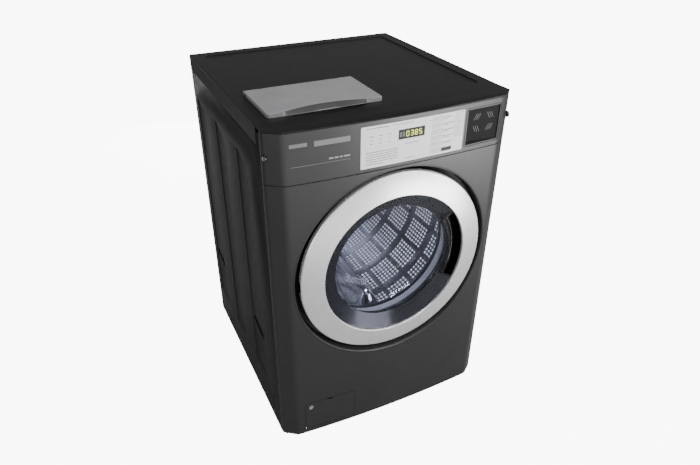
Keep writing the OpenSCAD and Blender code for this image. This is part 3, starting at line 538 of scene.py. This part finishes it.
def lid_outline(grow, z, arc_r, rear, r=9 * mm):
    """Plan outline of the dispenser lid at height z, its front cut by the scoop's arc of radius arc_r."""
    a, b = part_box("dispenser_lid")
    x0, x1, y0, y1 = a.x - grow, b.x + grow, a.y - grow, b.y - rear
    middle, centre_y = (x0 + x1) / 2, a.y - SCOOP_AHEAD
    front = []
    for k in range(1, 80):
        x = x0 + r + (x1 - x0 - 2 * r) * k / 80
        y = y0
        if arc_r > abs(x - middle):
            y = max(y0, centre_y + math.sqrt(arc_r ** 2 - (x - middle) ** 2))
        front.append((x, y, z))
    corners = [(x, y, z) for x, y in rounded_rect(x0, y0, x1, y1, r, 6)]
    return corners[:21] + front + corners[21:]


def lid():
    """The detergent lid: rounded edges, a scooped grip, a hollow underside and its hinge barrels."""
    a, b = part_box("dispenser_lid")
    top, bottom = b.z, a.z
    plate, flange = 13.8 * mm, 6 * mm         # how far each ends before the rear of the hinge barrel

    def arc(z):
        return SCOOP_R + SCOOP_SLOPE * (z - bottom - LIP)

    rim = lid_outline(0, bottom, 0, plate)
    hollow = [(min(max(x, a.x + 6 * mm), b.x - 6 * mm), min(max(y, a.y + 42 * mm), b.y - 17 * mm), z)
              for x, y, z in rim]
    step, lip = top - 1.3 * mm, bottom + LIP
    rings = [[(x, y, top - 3.5 * mm) for x, y, z in hollow], hollow,
             lid_outline(-0.6 * mm, bottom, 0, plate), lid_outline(0, bottom + 0.8 * mm, 0, plate),
             lid_outline(0, lip, arc(lip), plate),
             lid_outline(0, step - 0.5 * mm, arc(step - 0.5 * mm), plate),
             lid_outline(0, step, arc(step), plate), lid_outline(0, step, arc(step) + 0.05 * mm, flange),
             lid_outline(-0.4 * mm, top - 0.7 * mm, arc(top) - 0.6 * mm, flange),
             lid_outline(-1.1 * mm, top - 0.2 * mm, arc(top) + 0.8 * mm, flange),
             lid_outline(-2.2 * mm, top, arc(top) + 2.4 * mm, flange)]
    verts, faces = loft(rings)
    n = len(rim)
    for end in (0, len(rings) - 1):
        for tri in tessellate_polygon([[Vector(v) for v in rings[end]]]):
            faces.append(tuple(end * n + k for k in tri))
    pivot_y, pivot_z = b.y - 5.3 * mm, bottom + 5.4 * mm
    ears = [a.x + 47 * mm, b.x - 47 * mm]
    gap = 6.4 * mm
    for x0, x1 in ((a.x, ears[0] - gap), (ears[0] + gap, ears[1] - gap), (ears[1] + gap, b.x)):
        circles = []
        for x, r in ((x0, 4.7), (x0 + 0.6 * mm, 5.3), (x1 - 0.6 * mm, 5.3), (x1, 4.7)):
            circles.append([(x, pivot_y + r * mm * c, pivot_z + r * mm * s) for c, s in circle(32)])
        add_tube(verts, faces, circles)
    shell = make("dispenser_lid_shell", verts, faces, "lid_grey", "dispenser_lid", replaces=["dispenser_lid"],
                 angle=28)
    # The slanted face of the scoop gets the dark grey, as painted shade.
    shell.data.materials.append(SCOOP_PAINTED_SHADE)
    for p in shell.data.polygons:
        if lip - 0.1 * mm < p.center.z < step and p.normal.y < -0.2 and 0.5 < p.normal.z < 0.99:
            p.material_index = 1


def screw_cups():
    """The dark round recesses around the security screws."""
    a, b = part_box("security_screws")
    y, z, sides = (a.y + b.y) / 2, (a.z + b.z) / 2, 32
    for s, name in ((-1, "left"), (1, "right")):
        rings = []
        for r, d in ((8.6, 0.3), (8.2, 0.6), (7.8, -0.4), (7.6, -5), (7, -5.4), (0.5, -5.4)):
            rings.append([(s * (SIDE_X + d * mm), y + r * mm * c, z + r * mm * q) for c, q in circle(sides)])
        verts, faces = loft(rings)
        faces.append(tuple(range(len(verts) - sides, len(verts))))
        make(f"screw_recess_{name}", verts, faces, "housing_black", "cabinet")


RIB_W = 100 * mm
RIB_REAR = [v * mm for v in (-107, 101, 307)]
RIB_Z = (128 * mm, 862 * mm)
SLOT = (96 * mm, 20 * mm, 290 * mm, math.radians(17))


def rib_outline(rear, inset):
    """A pressed field: upright sides, a top that slants down to the front, rounded corners."""
    z0, z1 = RIB_Z
    points = [(rear - RIB_W + inset, z0 + inset), (rear - inset, z0 + inset), (rear - inset, z1 - inset),
              (rear - RIB_W + inset, z1 - 26 * mm - inset)]
    return rounded(points, max(3 * mm, 9 * mm - inset), 5)


def slot_outline(rear, grow):
    """A slanted slot with round ends."""
    length, width, z, tilt = SLOT
    cy = rear - RIB_W / 2 - 4 * mm
    r, half = width / 2 + grow, (length - width) / 2
    out = []
    for side in (1, -1):
        for k in range(9):
            a = (-math.pi / 2 + math.pi * k / 8) + (0 if side > 0 else math.pi)
            y, q = side * half + r * math.cos(a), r * math.sin(a)
            out.append((cy + y * math.cos(tilt) - q * math.sin(tilt),
                        z + y * math.sin(tilt) + q * math.cos(tilt)))
    return out


def side_panel(s, node):
    """A side sheet with three softly pressed fields and two slots, s is the sign of X."""
    a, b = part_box(node)
    x_out = b.x if s > 0 else -a.x
    y0, y1, z0, z1 = a.y, b.y, a.z, b.z
    verts, faces = [], []

    def add(outline, depth):
        first = len(verts)
        verts.extend((s * (x_out - depth), y, z) for y, z in outline)
        return list(range(first, first + len(outline)))

    def band(p, q):
        for k in range(len(p)):
            m = (k + 1) % len(p)
            faces.append((p[k], p[m], q[m], q[k]))

    def fill(outer, holes):
        loops = [[Vector((verts[i][1], verts[i][2], 0)) for i in loop] for loop in [outer, *holes]]
        ids = [i for loop in [outer, *holes] for i in loop]
        faces.extend(tuple(ids[i] for i in t) for t in tessellate_polygon(loops))

    edge = add([(y0, z0), (y1, z0), (y1, z1), (y0, z1)], 0)
    openings = []
    for index, rear in enumerate(RIB_REAR):
        rings = [add(rib_outline(rear, i * mm), d * mm)
                 for i, d in ((0, 0), (0.7, 0.12), (1.6, 0.8), (2.6, 1.9), (3.6, 2.7), (4.6, 3))]
        for p, q in zip(rings, rings[1:]):
            band(p, q)
        openings.append(rings[0])
        cuts = []
        if index != 1:
            lips = [add(slot_outline(rear, g * mm), d * mm)
                    for g, d in ((1.8, 3), (1, 3.2), (0.3, 3.9), (0, 5))]
            for p, q in zip(lips, lips[1:]):
                band(p, q)
            cuts.append(lips[0])
        fill(rings[-1], cuts)
    fill(edge, openings)
    front = add([(y0, z0), (y0, z1)], 20 * mm)
    faces.append((edge[0], edge[3], front[1], front[0]))
    obj = make(f"{node}_sheet", verts, faces, "black_paint", "cabinet", replaces=[node], angle=25)
    modify(obj, "SOLIDIFY", thickness=1.2 * mm, offset=-1)


def slot_backs():
    """Dark inner baffles that close the view through the side slots."""
    for s, name in ((-1, "left"), (1, "right")):
        for index in (0, 2):
            outline = slot_outline(RIB_REAR[index], 4 * mm)
            x = s * (SIDE_X - 9 * mm)
            verts, faces = [], []
            add_tube(verts, faces, [[(q, y, z) for y, z in outline] for q in (x, x - s * 2 * mm)])
            make(f"slot_baffle_{name}_{index}", verts, faces, "housing_black", "cabinet")


# ---------------------------------------------------------------- printing on the front

PRINT_T = 0.12 * mm
STEP = 18 * mm            # longest straight stretch along the bulged face


def bar(x0, z0, x1, z1):
    """A filled rectangle as outlines short enough to follow the face."""
    n = max(1, math.ceil((x1 - x0) / STEP))
    xs = [x0 + (x1 - x0) * i / n for i in range(n + 1)]
    return [[(a, z0), (b, z0), (b, z1), (a, z1)] for a, b in zip(xs, xs[1:])]


def box_outline(x0, z0, x1, z1, w):
    """The four bars of a frame of line width w."""
    return (bar(x0, z0, x1, z0 + w) + bar(x0, z1 - w, x1, z1)
            + bar(x0, z0 + w, x0 + w, z1 - w) + bar(x1 - w, z0 + w, x1, z1 - w))


def disc(x, z, r):
    """A filled circle."""
    return [[(x + r * c, z + r * s) for c, s in circle(24)]]


def circle_line(x, z, r, w, n=32):
    """A circle of line width w."""
    out = []
    for i in range(n):
        a, b = 2 * math.pi * i / n, 2 * math.pi * (i + 1) / n
        out.append([(x + q * math.cos(t), z + q * math.sin(t))
                    for q, t in ((r, a), (r, b), (r - w, b), (r - w, a))])
    return out


def stroke(x0, z0, x1, z1, w):
    """A straight line of width w."""
    d = Vector((x1 - x0, z1 - z0)).normalized() * w / 2
    return [[(x0 - d.y, z0 + d.x), (x0 + d.y, z0 - d.x), (x1 + d.y, z1 - d.x), (x1 - d.y, z1 + d.x)]]


def words(rng, x0, x1, z, h):
    """A row of plain dashes of word length, which spell nothing."""
    out = []
    x = x0
    while x < x1 - h:
        end = min(x + h * rng.uniform(1.4, 4.2), x1)
        out += bar(x, z, end, z + h)
        x = end + h * 0.8
    return out


def stamp(name, outlines, material, body, surface, slot):
    """Outlines of x and z as thin raised print on a surface given as y(x)."""
    verts, faces = [], []
    for outline in outlines:
        first = len(verts)
        n = len(outline)
        verts += [(x, surface(x) - PRINT_T, z) for x, z in outline]
        verts += [(x, surface(x) + PRINT_T / 2, z) for x, z in outline]
        faces.append(tuple(range(first, first + n)))
        faces.append(tuple(range(first + 2 * n - 1, first + n - 1, -1)))
        for i in range(n):
            j = (i + 1) % n
            faces.append((first + i, first + n + i, first + n + j, first + j))
    make(name, verts, faces, slot, body, material, angle=30)


def on_label(x):
    """Y of the label's face at x."""
    return face_y(x) - LABEL_T


def label_print():
    """Frames, rows of dashes and dots on the label, which spell nothing."""
    rng = random.Random(4)
    left = lo("control_label").x
    bottom, top = lo("control_label").z, hi("control_label").z
    thin = 0.35 * mm
    lines = box_outline(left + 13 * mm, top - 56 * mm, left + 89 * mm, top - 15.5 * mm, thin)
    lines += box_outline(left + 96 * mm, bottom + 57 * mm, left + 176 * mm, top - 9 * mm, thin)
    grey_marks = words(rng, left + 15 * mm, left + 74 * mm, top - 7 * mm, 1.9 * mm)
    grey_marks += words(rng, left + 82 * mm, left + 140 * mm, top - 6.5 * mm, 1.3 * mm)
    dots = []
    for x in (left + 28 * mm, left + 51 * mm, left + 74 * mm):
        dots += disc(x, top - 35 * mm, 1.5 * mm)
        grey_marks += words(rng, x - 5 * mm, x + 5 * mm, top - 27 * mm, 1.8 * mm)
        grey_marks += words(rng, x - 4 * mm, x + 4 * mm, top - 46 * mm, 1.5 * mm)
    for i in range(6):
        z = bottom + 39 * mm - i * 6.1 * mm
        end = left + (100 if i < 5 else 60) * mm
        grey_marks += words(rng, left + 14 * mm, end, z, 1.7 * mm)
    grey_marks += words(rng, left + 118 * mm, left + 160 * mm, bottom + 47 * mm, 1.5 * mm)
    grey_marks += words(rng, left + 118 * mm, left + 150 * mm, bottom + 8 * mm, 1.4 * mm)
    for i in range(1, 7):
        a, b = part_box(f"program_button_{i}")
        lines += box_outline(a.x - 1 * mm, a.z - 1 * mm, b.x + 1 * mm, b.z + 1 * mm, thin)
        if i < 6:
            grey_marks += words(rng, b.x + 3.5 * mm, b.x + rng.uniform(24, 36) * mm, b.z - 4 * mm, 1.8 * mm)
            grey_marks += words(rng, b.x + 3.5 * mm, b.x + rng.uniform(14, 26) * mm, b.z - 8 * mm, 1.5 * mm)
        if i < 3:
            dots += disc(a.x - 7 * mm, (a.z + b.z) / 2, 1.3 * mm)
    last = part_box("program_button_6")[1]
    block = bar(last.x + 2.5 * mm, last.z - 10 * mm, last.x + 33 * mm, last.z)
    a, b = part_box("start_button")
    lines += box_outline(a.x - 1 * mm, a.z - 1 * mm, b.x + 1 * mm, b.z + 1 * mm, thin)
    stamp("label_lines", lines, LINE_INK, "cabinet", on_label, "label_white")
    stamp("label_dashes", grey_marks, INK, "cabinet", on_label, "label_white")
    stamp("label_dots", dots, DARK_INK, "cabinet", on_label, "label_white")
    stamp("label_block", block, DARK_INK, "cabinet", on_label, "label_white")


def button_print():
    """Small plain marks on the keys."""
    for i in range(1, 7):
        a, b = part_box(f"program_button_{i}")
        z = (a.z + b.z) / 2
        mark = bar(a.x + 9 * mm, z - 0.7 * mm, a.x + 14 * mm, z + 0.7 * mm)
        y = a.y
        stamp(f"key_mark_{i}", mark, LINE_INK, f"program_button_{i}", lambda x, y=y: y, "button_white")
    a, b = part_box("start_button")
    x, z = (a.x + b.x) / 2, (a.z + b.z) / 2
    mark = circle_line(x, z + 8 * mm, 2.4 * mm, 0.5 * mm)
    mark += bar(x - 2.2 * mm, z - 8.4 * mm, x + 2.2 * mm, z - 7.6 * mm)
    stamp("start_mark", mark, INK, "start_button", lambda x, y=a.y: y, "button_white")


SEGMENTS = {"0": "abcdef", "3": "abcdg", "8": "abcdefg", "5": "acdfg"}


def digit(x, z, w, h, t, which):
    """The bars of one seven-segment digit, low left corner at x, z."""
    m = z + h / 2
    places = {
        "a": (x + t, z + h - t, x + w - t, z + h), "d": (x + t, z, x + w - t, z + t),
        "g": (x + t, m - t / 2, x + w - t, m + t / 2), "f": (x, m + t / 4, x + t, z + h - t / 2),
        "e": (x, z + t / 2, x + t, m - t / 4), "b": (x + w - t, m + t / 4, x + w, z + h - t / 2),
        "c": (x + w - t, z + t / 2, x + w, m - t / 4)}
    return [o for s in which for o in bar(*places[s])]


def display_digits():
    """Four lit digits, with their unlit segments and two unlit bars."""
    a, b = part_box("display_window")
    w, h, t = 8.5 * mm, 14 * mm, 1.7 * mm
    z = (a.z + b.z) / 2 - h / 2
    lit, unlit = [], []
    for i, figure in enumerate("0385"):
        x = a.x + 21 * mm + i * 12 * mm
        lit += digit(x, z, w, h, t, SEGMENTS[figure])
        unlit += digit(x, z, w, h, t, sorted(set("abcdefg") - set(SEGMENTS[figure])))
    for i in range(2):
        unlit += bar(a.x + (4 + 7.5 * i) * mm, z + 1 * mm, a.x + (9.5 + 7.5 * i) * mm, z + h - 1 * mm)

    def on_window(x):
        return face_y(x) - 0.6 * mm

    stamp("display_lit_digits", lit, LIT, "cabinet", on_window, "display_black")
    stamp("display_unlit_segments", unlit, UNLIT, "cabinet", on_window, "display_black")


def panel_print():
    """Blank bars and a line on the left of the control panel."""
    top = hi("control_panel").z
    plate = bar(-287 * mm, top - 36 * mm, -245 * mm, top - 27 * mm)
    stamp("plain_nameplate", plate, PALE_INK, "cabinet", face_y, "graphite_paint")
    marks = bar(-228 * mm, top - 39 * mm, -140 * mm, top - 26 * mm)
    marks += bar(-285 * mm, top - 83.5 * mm, -140 * mm, top - 82.5 * mm)
    stamp("plain_tag", marks, PALE_INK, "cabinet", face_y, "graphite_paint")
    small = words(random.Random(9), -193 * mm, -140 * mm, top - 76 * mm, 4 * mm)
    stamp("plain_dashes", small, LINE_INK, "cabinet", face_y, "graphite_paint")


def reader_print():
    """Four groups of plain slanted strokes on the blank plate."""
    a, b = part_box("reader_plate")
    reach, w = 8 * mm, 1.1 * mm
    marks = []
    for i, x in enumerate((a.x + 36 * mm, b.x - 27 * mm)):
        for j, z in enumerate((a.z + 36 * mm, b.z - 25 * mm)):
            lean = reach if (i + j) % 2 else -reach
            for step in (-6 * mm, 0, 6 * mm):
                marks += stroke(x + step - lean / 2, z - reach, x + step + lean / 2, z + reach, w)
    stamp("reader_strokes", marks, INK_ON_BLACK, "cabinet", lambda x: a.y, "reader_black")


# ---------------------------------------------------------------- drum

HOLE_SIDES = 8


def perforated(name, columns, rows, place, is_open, share, dent, slot, body, **more):
    """A sheet of columns by rows cells. place(u, v, d) gives a point, d deep; open cells get a round hole,
    whose rim is pale as a painted highlight.
    """
    verts = [place(i / columns, j / rows, 0) for j in range(rows + 1) for i in range(columns)]
    faces, rims = [], []

    def corner(i, j):
        return j * columns + i % columns

    for j in range(rows):
        for i in range(columns):
            square = [corner(i, j), corner(i + 1, j), corner(i + 1, j + 1), corner(i, j + 1)]
            if not is_open(i, j):
                faces.append(tuple(square))
                continue
            first = len(verts)
            for reach, depth in ((share, dent), (0.3 * share, 1.6 * dent)):
                for k in range(HOLE_SIDES):
                    a = math.pi * (1.125 + k / 4)
                    u = (i + 0.5 + reach * math.cos(a)) / columns
                    v = (j + 0.5 + reach * math.sin(a)) / rows
                    verts.append(place(u, v, depth))
            for k in range(HOLE_SIDES):
                q = (k + 1) % HOLE_SIDES
                rims.append((first + k, first + q, first + HOLE_SIDES + q, first + HOLE_SIDES + k))
            for s in range(4):
                h = first + 2 * s
                faces.append((square[s], square[(s + 1) % 4], first + (2 * s + 2) % 8, h + 1))
                faces.append((square[s], h + 1, h))
    piece = make(name, verts, faces + rims, slot, body, **more)
    # The rims of the holes take the pale painted highlight.
    piece.data.materials.append(PAINTED_HIGHLIGHT_RIM)
    for p in piece.data.polygons[len(faces):]:
        p.material_index = 1
    return piece


DRUM_R = hi("drum_shell").x - 1.5 * mm
DRUM_Y0 = lo("drum_shell").y
DRUM_Y1 = lo("drum_rear").y


def drum():
    """The perforated wall and the plain front wall of the drum."""
    start, end = DRUM_Y0 + 9 * mm, DRUM_Y1

    def wall(u, v, d):
        a = 2 * math.pi * u
        r = DRUM_R + d
        return (r * math.cos(a), start + (end - start) * v, AXIS_Z + r * math.sin(a))

    def wall_open(i, j):
        return j % 9 not in (0, 8) and i % 7 != 0 and 2 < j < 33

    shell = perforated("drum_perforated_wall", 140, 36, wall, wall_open, 0.3, 0.6 * mm, "drum_steel",
                       "drum", replaces=["drum_shell"])
    modify(shell, "SOLIDIFY", thickness=0.8 * mm, offset=1)
    mouth = hi("drum_shell").x - 75.5 * mm
    lathe("drum_front_wall", [(mouth, DRUM_Y0), (DRUM_R - 7 * mm, DRUM_Y0), (DRUM_R, DRUM_Y0 + 9 * mm),
                              (DRUM_R - 1.2 * mm, DRUM_Y0 + 9 * mm), (DRUM_R - 8 * mm, DRUM_Y0 + 1.5 * mm),
                              (mouth + 5 * mm, DRUM_Y0 + 1.5 * mm), (mouth + 1 * mm, DRUM_Y0 + 5 * mm)],
          "drum_steel", "drum")


def lifters():
    """Three smooth hollow fins on the drum wall."""
    y0, y1 = lo("drum_lifters").y, hi("drum_lifters").y
    height, half = 74 * mm, 50 * mm
    along, across = 40, 28
    verts, faces = [], []
    for k in range(3):
        turn = math.radians(-90 + 120 * k)
        first = len(verts)
        for i in range(along + 1):
            u = i / along
            ends = min(1, math.sin(math.pi * u) * 3.2) ** 0.6
            for j in range(across + 1):
                v = 2 * j / across - 1
                hump = (1 - abs(v) ** 2.2) ** 1.35
                side = half * v * (1 - 0.25 * (1 - ends))
                base = math.sqrt(DRUM_R ** 2 - side ** 2) - 0.6 * mm
                r = base - height * hump * ends
                verts.append((r * math.cos(turn) - side * math.sin(turn), y0 + (y1 - y0) * u,
                              AXIS_Z + r * math.sin(turn) + side * math.cos(turn)))
        for i in range(along):
            for j in range(across):
                p = first + i * (across + 1) + j
                faces.append((p, p + 1, p + across + 2, p + across + 1))
    piece = make("drum_lifter_fins", verts, faces, "drum_steel", "drum", POLISHED,
                 replaces=["drum_lifters"], angle=60)
    modify(piece, "SOLIDIFY", thickness=1 * mm, offset=0)


# ---------------------------------------------------------------- door surroundings

def gasket():
    """A soft folded seal between the panel and the tub."""
    front = lo("door_gasket").y
    profile = [(178, 0), (184, 1.2), (197, 2.6), (203, 4), (203, 16), (210.5, 16.5), (212.5, 20),
               (212.5, 33), (210, 38), (204.8, 38.2), (204.8, 31), (208.8, 30), (209, 20.5), (197.5, 19.5),
               (197, 6.5), (184, 4.6), (178, 3.4)]
    seal = lathe("door_gasket_folds", [(r * mm, front + y * mm) for r, y in profile],
                 "gasket_rubber", None, radius=1.6 * mm,
                 replaces=["door_gasket"])
    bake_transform(seal)


def ring():
    """The silver ring in one smooth piece, with a gap in its rim for the hinge."""
    y0, out = lo("door_ring").y, hi("door_ring").x
    inner = out - 62.5 * mm
    rim_end, rim_cut = hi("door_ring").y, y0 + 14.7 * mm
    section = [(inner, y0 + 0.8 * mm), (inner + 1.2 * mm, y0), (out - 2.5 * mm, y0 + 12 * mm),
               (out, y0 + 14.4 * mm), (out, rim_end), (out - 1.3 * mm, rim_end),
               (out - 1.3 * mm, y0 + 14.9 * mm), (out - 3 * mm, y0 + 13.9 * mm),
               (inner + 2 * mm, y0 + 2.2 * mm), (inner + 2 * mm, y0 + 8.4 * mm), (inner, y0 + 8.4 * mm)]

    def rim(a, p):
        at_hinge = abs(a - math.pi) < math.radians(3.2)
        return min(p.y, rim_cut) if at_hinge and p.x > out - 2 * mm else p.y

    verts, faces = turned(rounded(section, 0.5 * mm), 288, rim)
    make("door_ring_trim", verts, faces, "ring_silver", "door", replaces=["door_ring"], angle=30)


def pocket_arc():
    """The bright edge line in the handle pocket."""
    r0, wire, steps, sides = 195 * mm, 0.9 * mm, 60, 8
    a0, a1 = math.radians(-24), math.radians(30)
    rings = []
    for i in range(steps + 1):
        a = a0 + (a1 - a0) * i / steps
        rings.append([((r0 + wire * c) * math.cos(a), POCKET_LINE_Y + wire * q,
                       AXIS_Z + (r0 + wire * c) * math.sin(a)) for c, q in circle(sides)])
    verts, faces = [], []
    add_tube(verts, faces, rings)
    make("pocket_edge_line", verts, faces, "chrome", "door")


def springs():
    """Round wire coils in place of the plain ones."""
    a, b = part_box("suspension_springs")
    x_mid, y_mid = (b.x - 17 * mm), (a.y + b.y) / 2
    turns, steps, sides, wire, coil = 11, 20, 8, 2 * mm, 15 * mm
    z0, z1 = a.z + wire, b.z - wire
    verts, faces = [], []
    for s in (-1, 1):
        rings = []
        for i in range(turns * steps + 1):
            t = 2 * math.pi * i / steps
            z = z0 + (z1 - z0) * i / (turns * steps)
            rings.append([(s * x_mid + (coil + wire * c) * math.cos(t),
                           y_mid + (coil + wire * c) * math.sin(t), z + wire * q)
                          for c, q in circle(sides)])
        add_tube(verts, faces, rings)
    coils = make("suspension_coils", verts, faces, "spring_steel", None,
                 replaces=["suspension_springs"], angle=60)
    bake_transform(coils)


def sump_hose():
    """The corrugated hose from the tub to the pump."""
    a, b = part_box("sump_hose")
    x_mid, y_mid, z0, z1 = (a.x + b.x) / 2, (a.y + b.y) / 2, a.z, b.z - 6 * mm
    folds, sides = 8, 72
    low, high = z0 + 15 * mm, z1 - 15 * mm
    pitch = (high - low) / folds
    outer, inner = [(24.3, z0), (24.3, low)], [(20.3, low), (20.3, z0)]
    for i in range(folds):
        outer += [(30.3, low + (i + 0.5) * pitch), (24.3, low + (i + 1) * pitch)]
        inner = [(20.3, low + (i + 1) * pitch), (26.3, low + (i + 0.5) * pitch)] + inner
    outer += [(24.3, z1 - 7 * mm), (27.3, z1 - 7 * mm), (27.3, z1 + 6 * mm), (24.3, z1 + 6 * mm),
              (24.3, z1 - 4 * mm), (20.3, z1 - 4 * mm)]
    rings = [[(x_mid + r * mm * c, y_mid + r * mm * s, z) for c, s in circle(sides)]
             for r, z in outer + inner]
    verts, faces = loft(rings, close=True)
    hose = make("sump_hose_bellows", verts, faces, "gasket_rubber", None, replaces=["sump_hose"], angle=40)
    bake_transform(hose)


# ---------------------------------------------------------------- stage, light and camera

AIM = Vector((0, -0.03, 0.46))
AZIMUTH, ELEVATION, ROLL = (math.radians(a) for a in (-25.99, 31.69, 0.46))
DISTANCE = 1.9318
SIDEWAYS, UPWARD = 23.33 * mm, 5.97 * mm
LENS = 30.66


def camera():
    """The photograph's viewpoint."""
    back = Vector((math.sin(AZIMUTH) * math.cos(ELEVATION), -math.cos(AZIMUTH) * math.cos(ELEVATION),
                   math.sin(ELEVATION)))
    right = Vector((math.cos(AZIMUTH), math.sin(AZIMUTH), 0))
    up = back.cross(right)
    place = AIM + back * DISTANCE + right * SIDEWAYS + up * UPWARD
    right, up = (math.cos(ROLL) * right + math.sin(ROLL) * up,
                 math.cos(ROLL) * up - math.sin(ROLL) * right)
    data = bpy.data.cameras.new("camera")
    data.lens = LENS
    data.sensor_width = 36
    data.clip_end = 100
    obj = bpy.data.objects.new("camera", data)
    bpy.context.scene.collection.objects.link(obj)
    obj.matrix_world = Matrix((right, up, back)).transposed().to_4x4()
    obj.location = place
    bpy.context.scene.camera = obj


def lamp(name, place, aim, size, power, colour=(1, 1, 1)):
    """A rectangular area lamp at place, turned to aim."""
    data = bpy.data.lights.new(name, "AREA")
    data.shape = "RECTANGLE"
    data.size, data.size_y = size
    data.energy = power
    data.color = colour
    obj = bpy.data.objects.new(name, data)
    bpy.context.scene.collection.objects.link(obj)
    obj.location = place
    obj.rotation_mode = "QUATERNION"
    obj.rotation_quaternion = (Vector(place) - Vector(aim)).to_track_quat("Z", "Y")
    return obj


def by_ray(tree, rules, otherwise):
    """A strength that depends on the kind of light path, from (ray output, strength) rules."""
    path = tree.nodes.new("ShaderNodeLightPath")
    value = otherwise
    for ray, strength in rules:
        pick = tree.nodes.new("ShaderNodeMix")
        pick.data_type = "FLOAT"
        tree.links.new(path.outputs[ray], pick.inputs["Factor"])
        if isinstance(value, float):
            pick.inputs["A"].default_value = value
        else:
            tree.links.new(value, pick.inputs["A"])
        pick.inputs["B"].default_value = strength
        value = pick.outputs["Result"]
    return value


WHITE = 9.0               # strength of the plain white backdrop, as the camera sees it
FAR_FLOOR = 1.0           # strength of the far floor in reflections


def ramp(tree, source, start, end, low, high):
    """A smooth change from low at start to high at end."""
    node = tree.nodes.new("ShaderNodeMapRange")
    node.interpolation_type = "SMOOTHSTEP"
    for key, value in (("From Min", start), ("From Max", end), ("To Min", low), ("To Max", high)):
        node.inputs[key].default_value = value
    tree.links.new(source, node.inputs["Value"])
    return node.outputs["Result"]


def floor_material():
    """Plain white to the eye; in reflections it is dark near the machine and bright further out."""
    pale = finish("pale_floor", grey(0.3), grey(0.32), (0.8, 0.9), Specular_IOR_Level=0.1)
    tree = pale.node_tree
    place = tree.nodes.new("ShaderNodeTexCoord")
    away = tree.nodes.new("ShaderNodeVectorMath")
    away.operation = "DOT_PRODUCT"
    away.inputs[1].default_value = (0.34, -0.94, 0)
    tree.links.new(place.outputs["Object"], away.inputs[0])
    far = ramp(tree, away.outputs["Value"], 0.9, 2.3, 0.0, FAR_FLOOR)
    shader = tree.nodes["Principled BSDF"]
    shader.inputs["Emission Color"].default_value = (1, 1, 1, 1)
    tree.links.new(by_ray(tree, [("Is Camera Ray", WHITE)], far), shader.inputs["Emission Strength"])
    return pale


def stage():
    """A pale floor, shaded under the machine, a surround that is dark overhead in reflections, and lamps."""
    size = 12
    corners = [(-size, -size, 0), (size, -size, 0), (size, size, 0), (-size, size, 0)]
    floor = build("floor", corners, [(0, 1, 2, 3)], floor_material())
    floor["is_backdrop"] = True
    world = bpy.data.worlds.new("studio")
    bpy.context.scene.world = world
    world.use_nodes = True
    tree = world.node_tree
    background = tree.nodes["Background"]
    background.inputs["Color"].default_value = (1, 1, 1, 1)
    place = tree.nodes.new("ShaderNodeTexCoord")
    split = tree.nodes.new("ShaderNodeSeparateXYZ")
    tree.links.new(place.outputs["Generated"], split.inputs["Vector"])
    sky = ramp(tree, split.outputs["Z"], 0.0, 0.35, 0.8, 0.04)
    tree.links.new(by_ray(tree, [("Is Diffuse Ray", 0.3), ("Is Camera Ray", WHITE)], sky),
                   background.inputs["Strength"])
    lamp("key_softbox", (2.2, -3.0, 2.6), (0.1, -0.3, 0.5), (2.6, 2.2), 120)
    lamp("top_softbox", (-0.3, -0.6, 3.6), (0, -0.1, 0), (3.0, 2.4), 50)
    lamp("low_right_fill", (1.25, -1.9, 0.12), (0.1, -0.35, 0.85), (1.1, 0.9), 27)
    lamp("rear_softbox", (0.4, 2.3, 0.42), (0, 0.34, 0.45), (1.6, 0.8), 38).visible_camera = False
    lamp("left_strip", (-2.6, -1.9, 1.5), (-0.3, -0.35, 0.6), (0.3, 2.0), 13)
    lamp("drum_glow", (0, -0.17, AXIS_Z + 0.16), (0, 0.1, AXIS_Z - 0.1), (0.16, 0.08), 3.4,
         (0.9, 0.93, 1.0)).visible_camera = False
    a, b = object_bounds()
    x0, x1, y0, y1, z = a[0] + 12 * mm, b[0] - 12 * mm, a[1] + 45 * mm, b[1] - 30 * mm, 0.2 * mm
    shade = build("shade_under_machine", [(x0, y0, z), (x1, y0, z), (x1, y1, z), (x0, y1, z)],
                  [(0, 1, 2, 3)],
                  finish("shaded_floor", grey(0.02), grey(0.03), (0.8, 0.9), Specular_IOR_Level=0.1))
    shade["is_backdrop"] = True


camera()
stage()
label_print()
button_print()
display_digits()
panel_print()
reader_print()
drum()
lifters()
ring()
front_skin()
door_recess()
control_skin()
reader_bezel()
lid()
screw_cups()
side_panel(-1, "left_side_panel")
side_panel(1, "right_side_panel")
slot_backs()
gasket()
pocket_arc()
springs()
sump_hose()
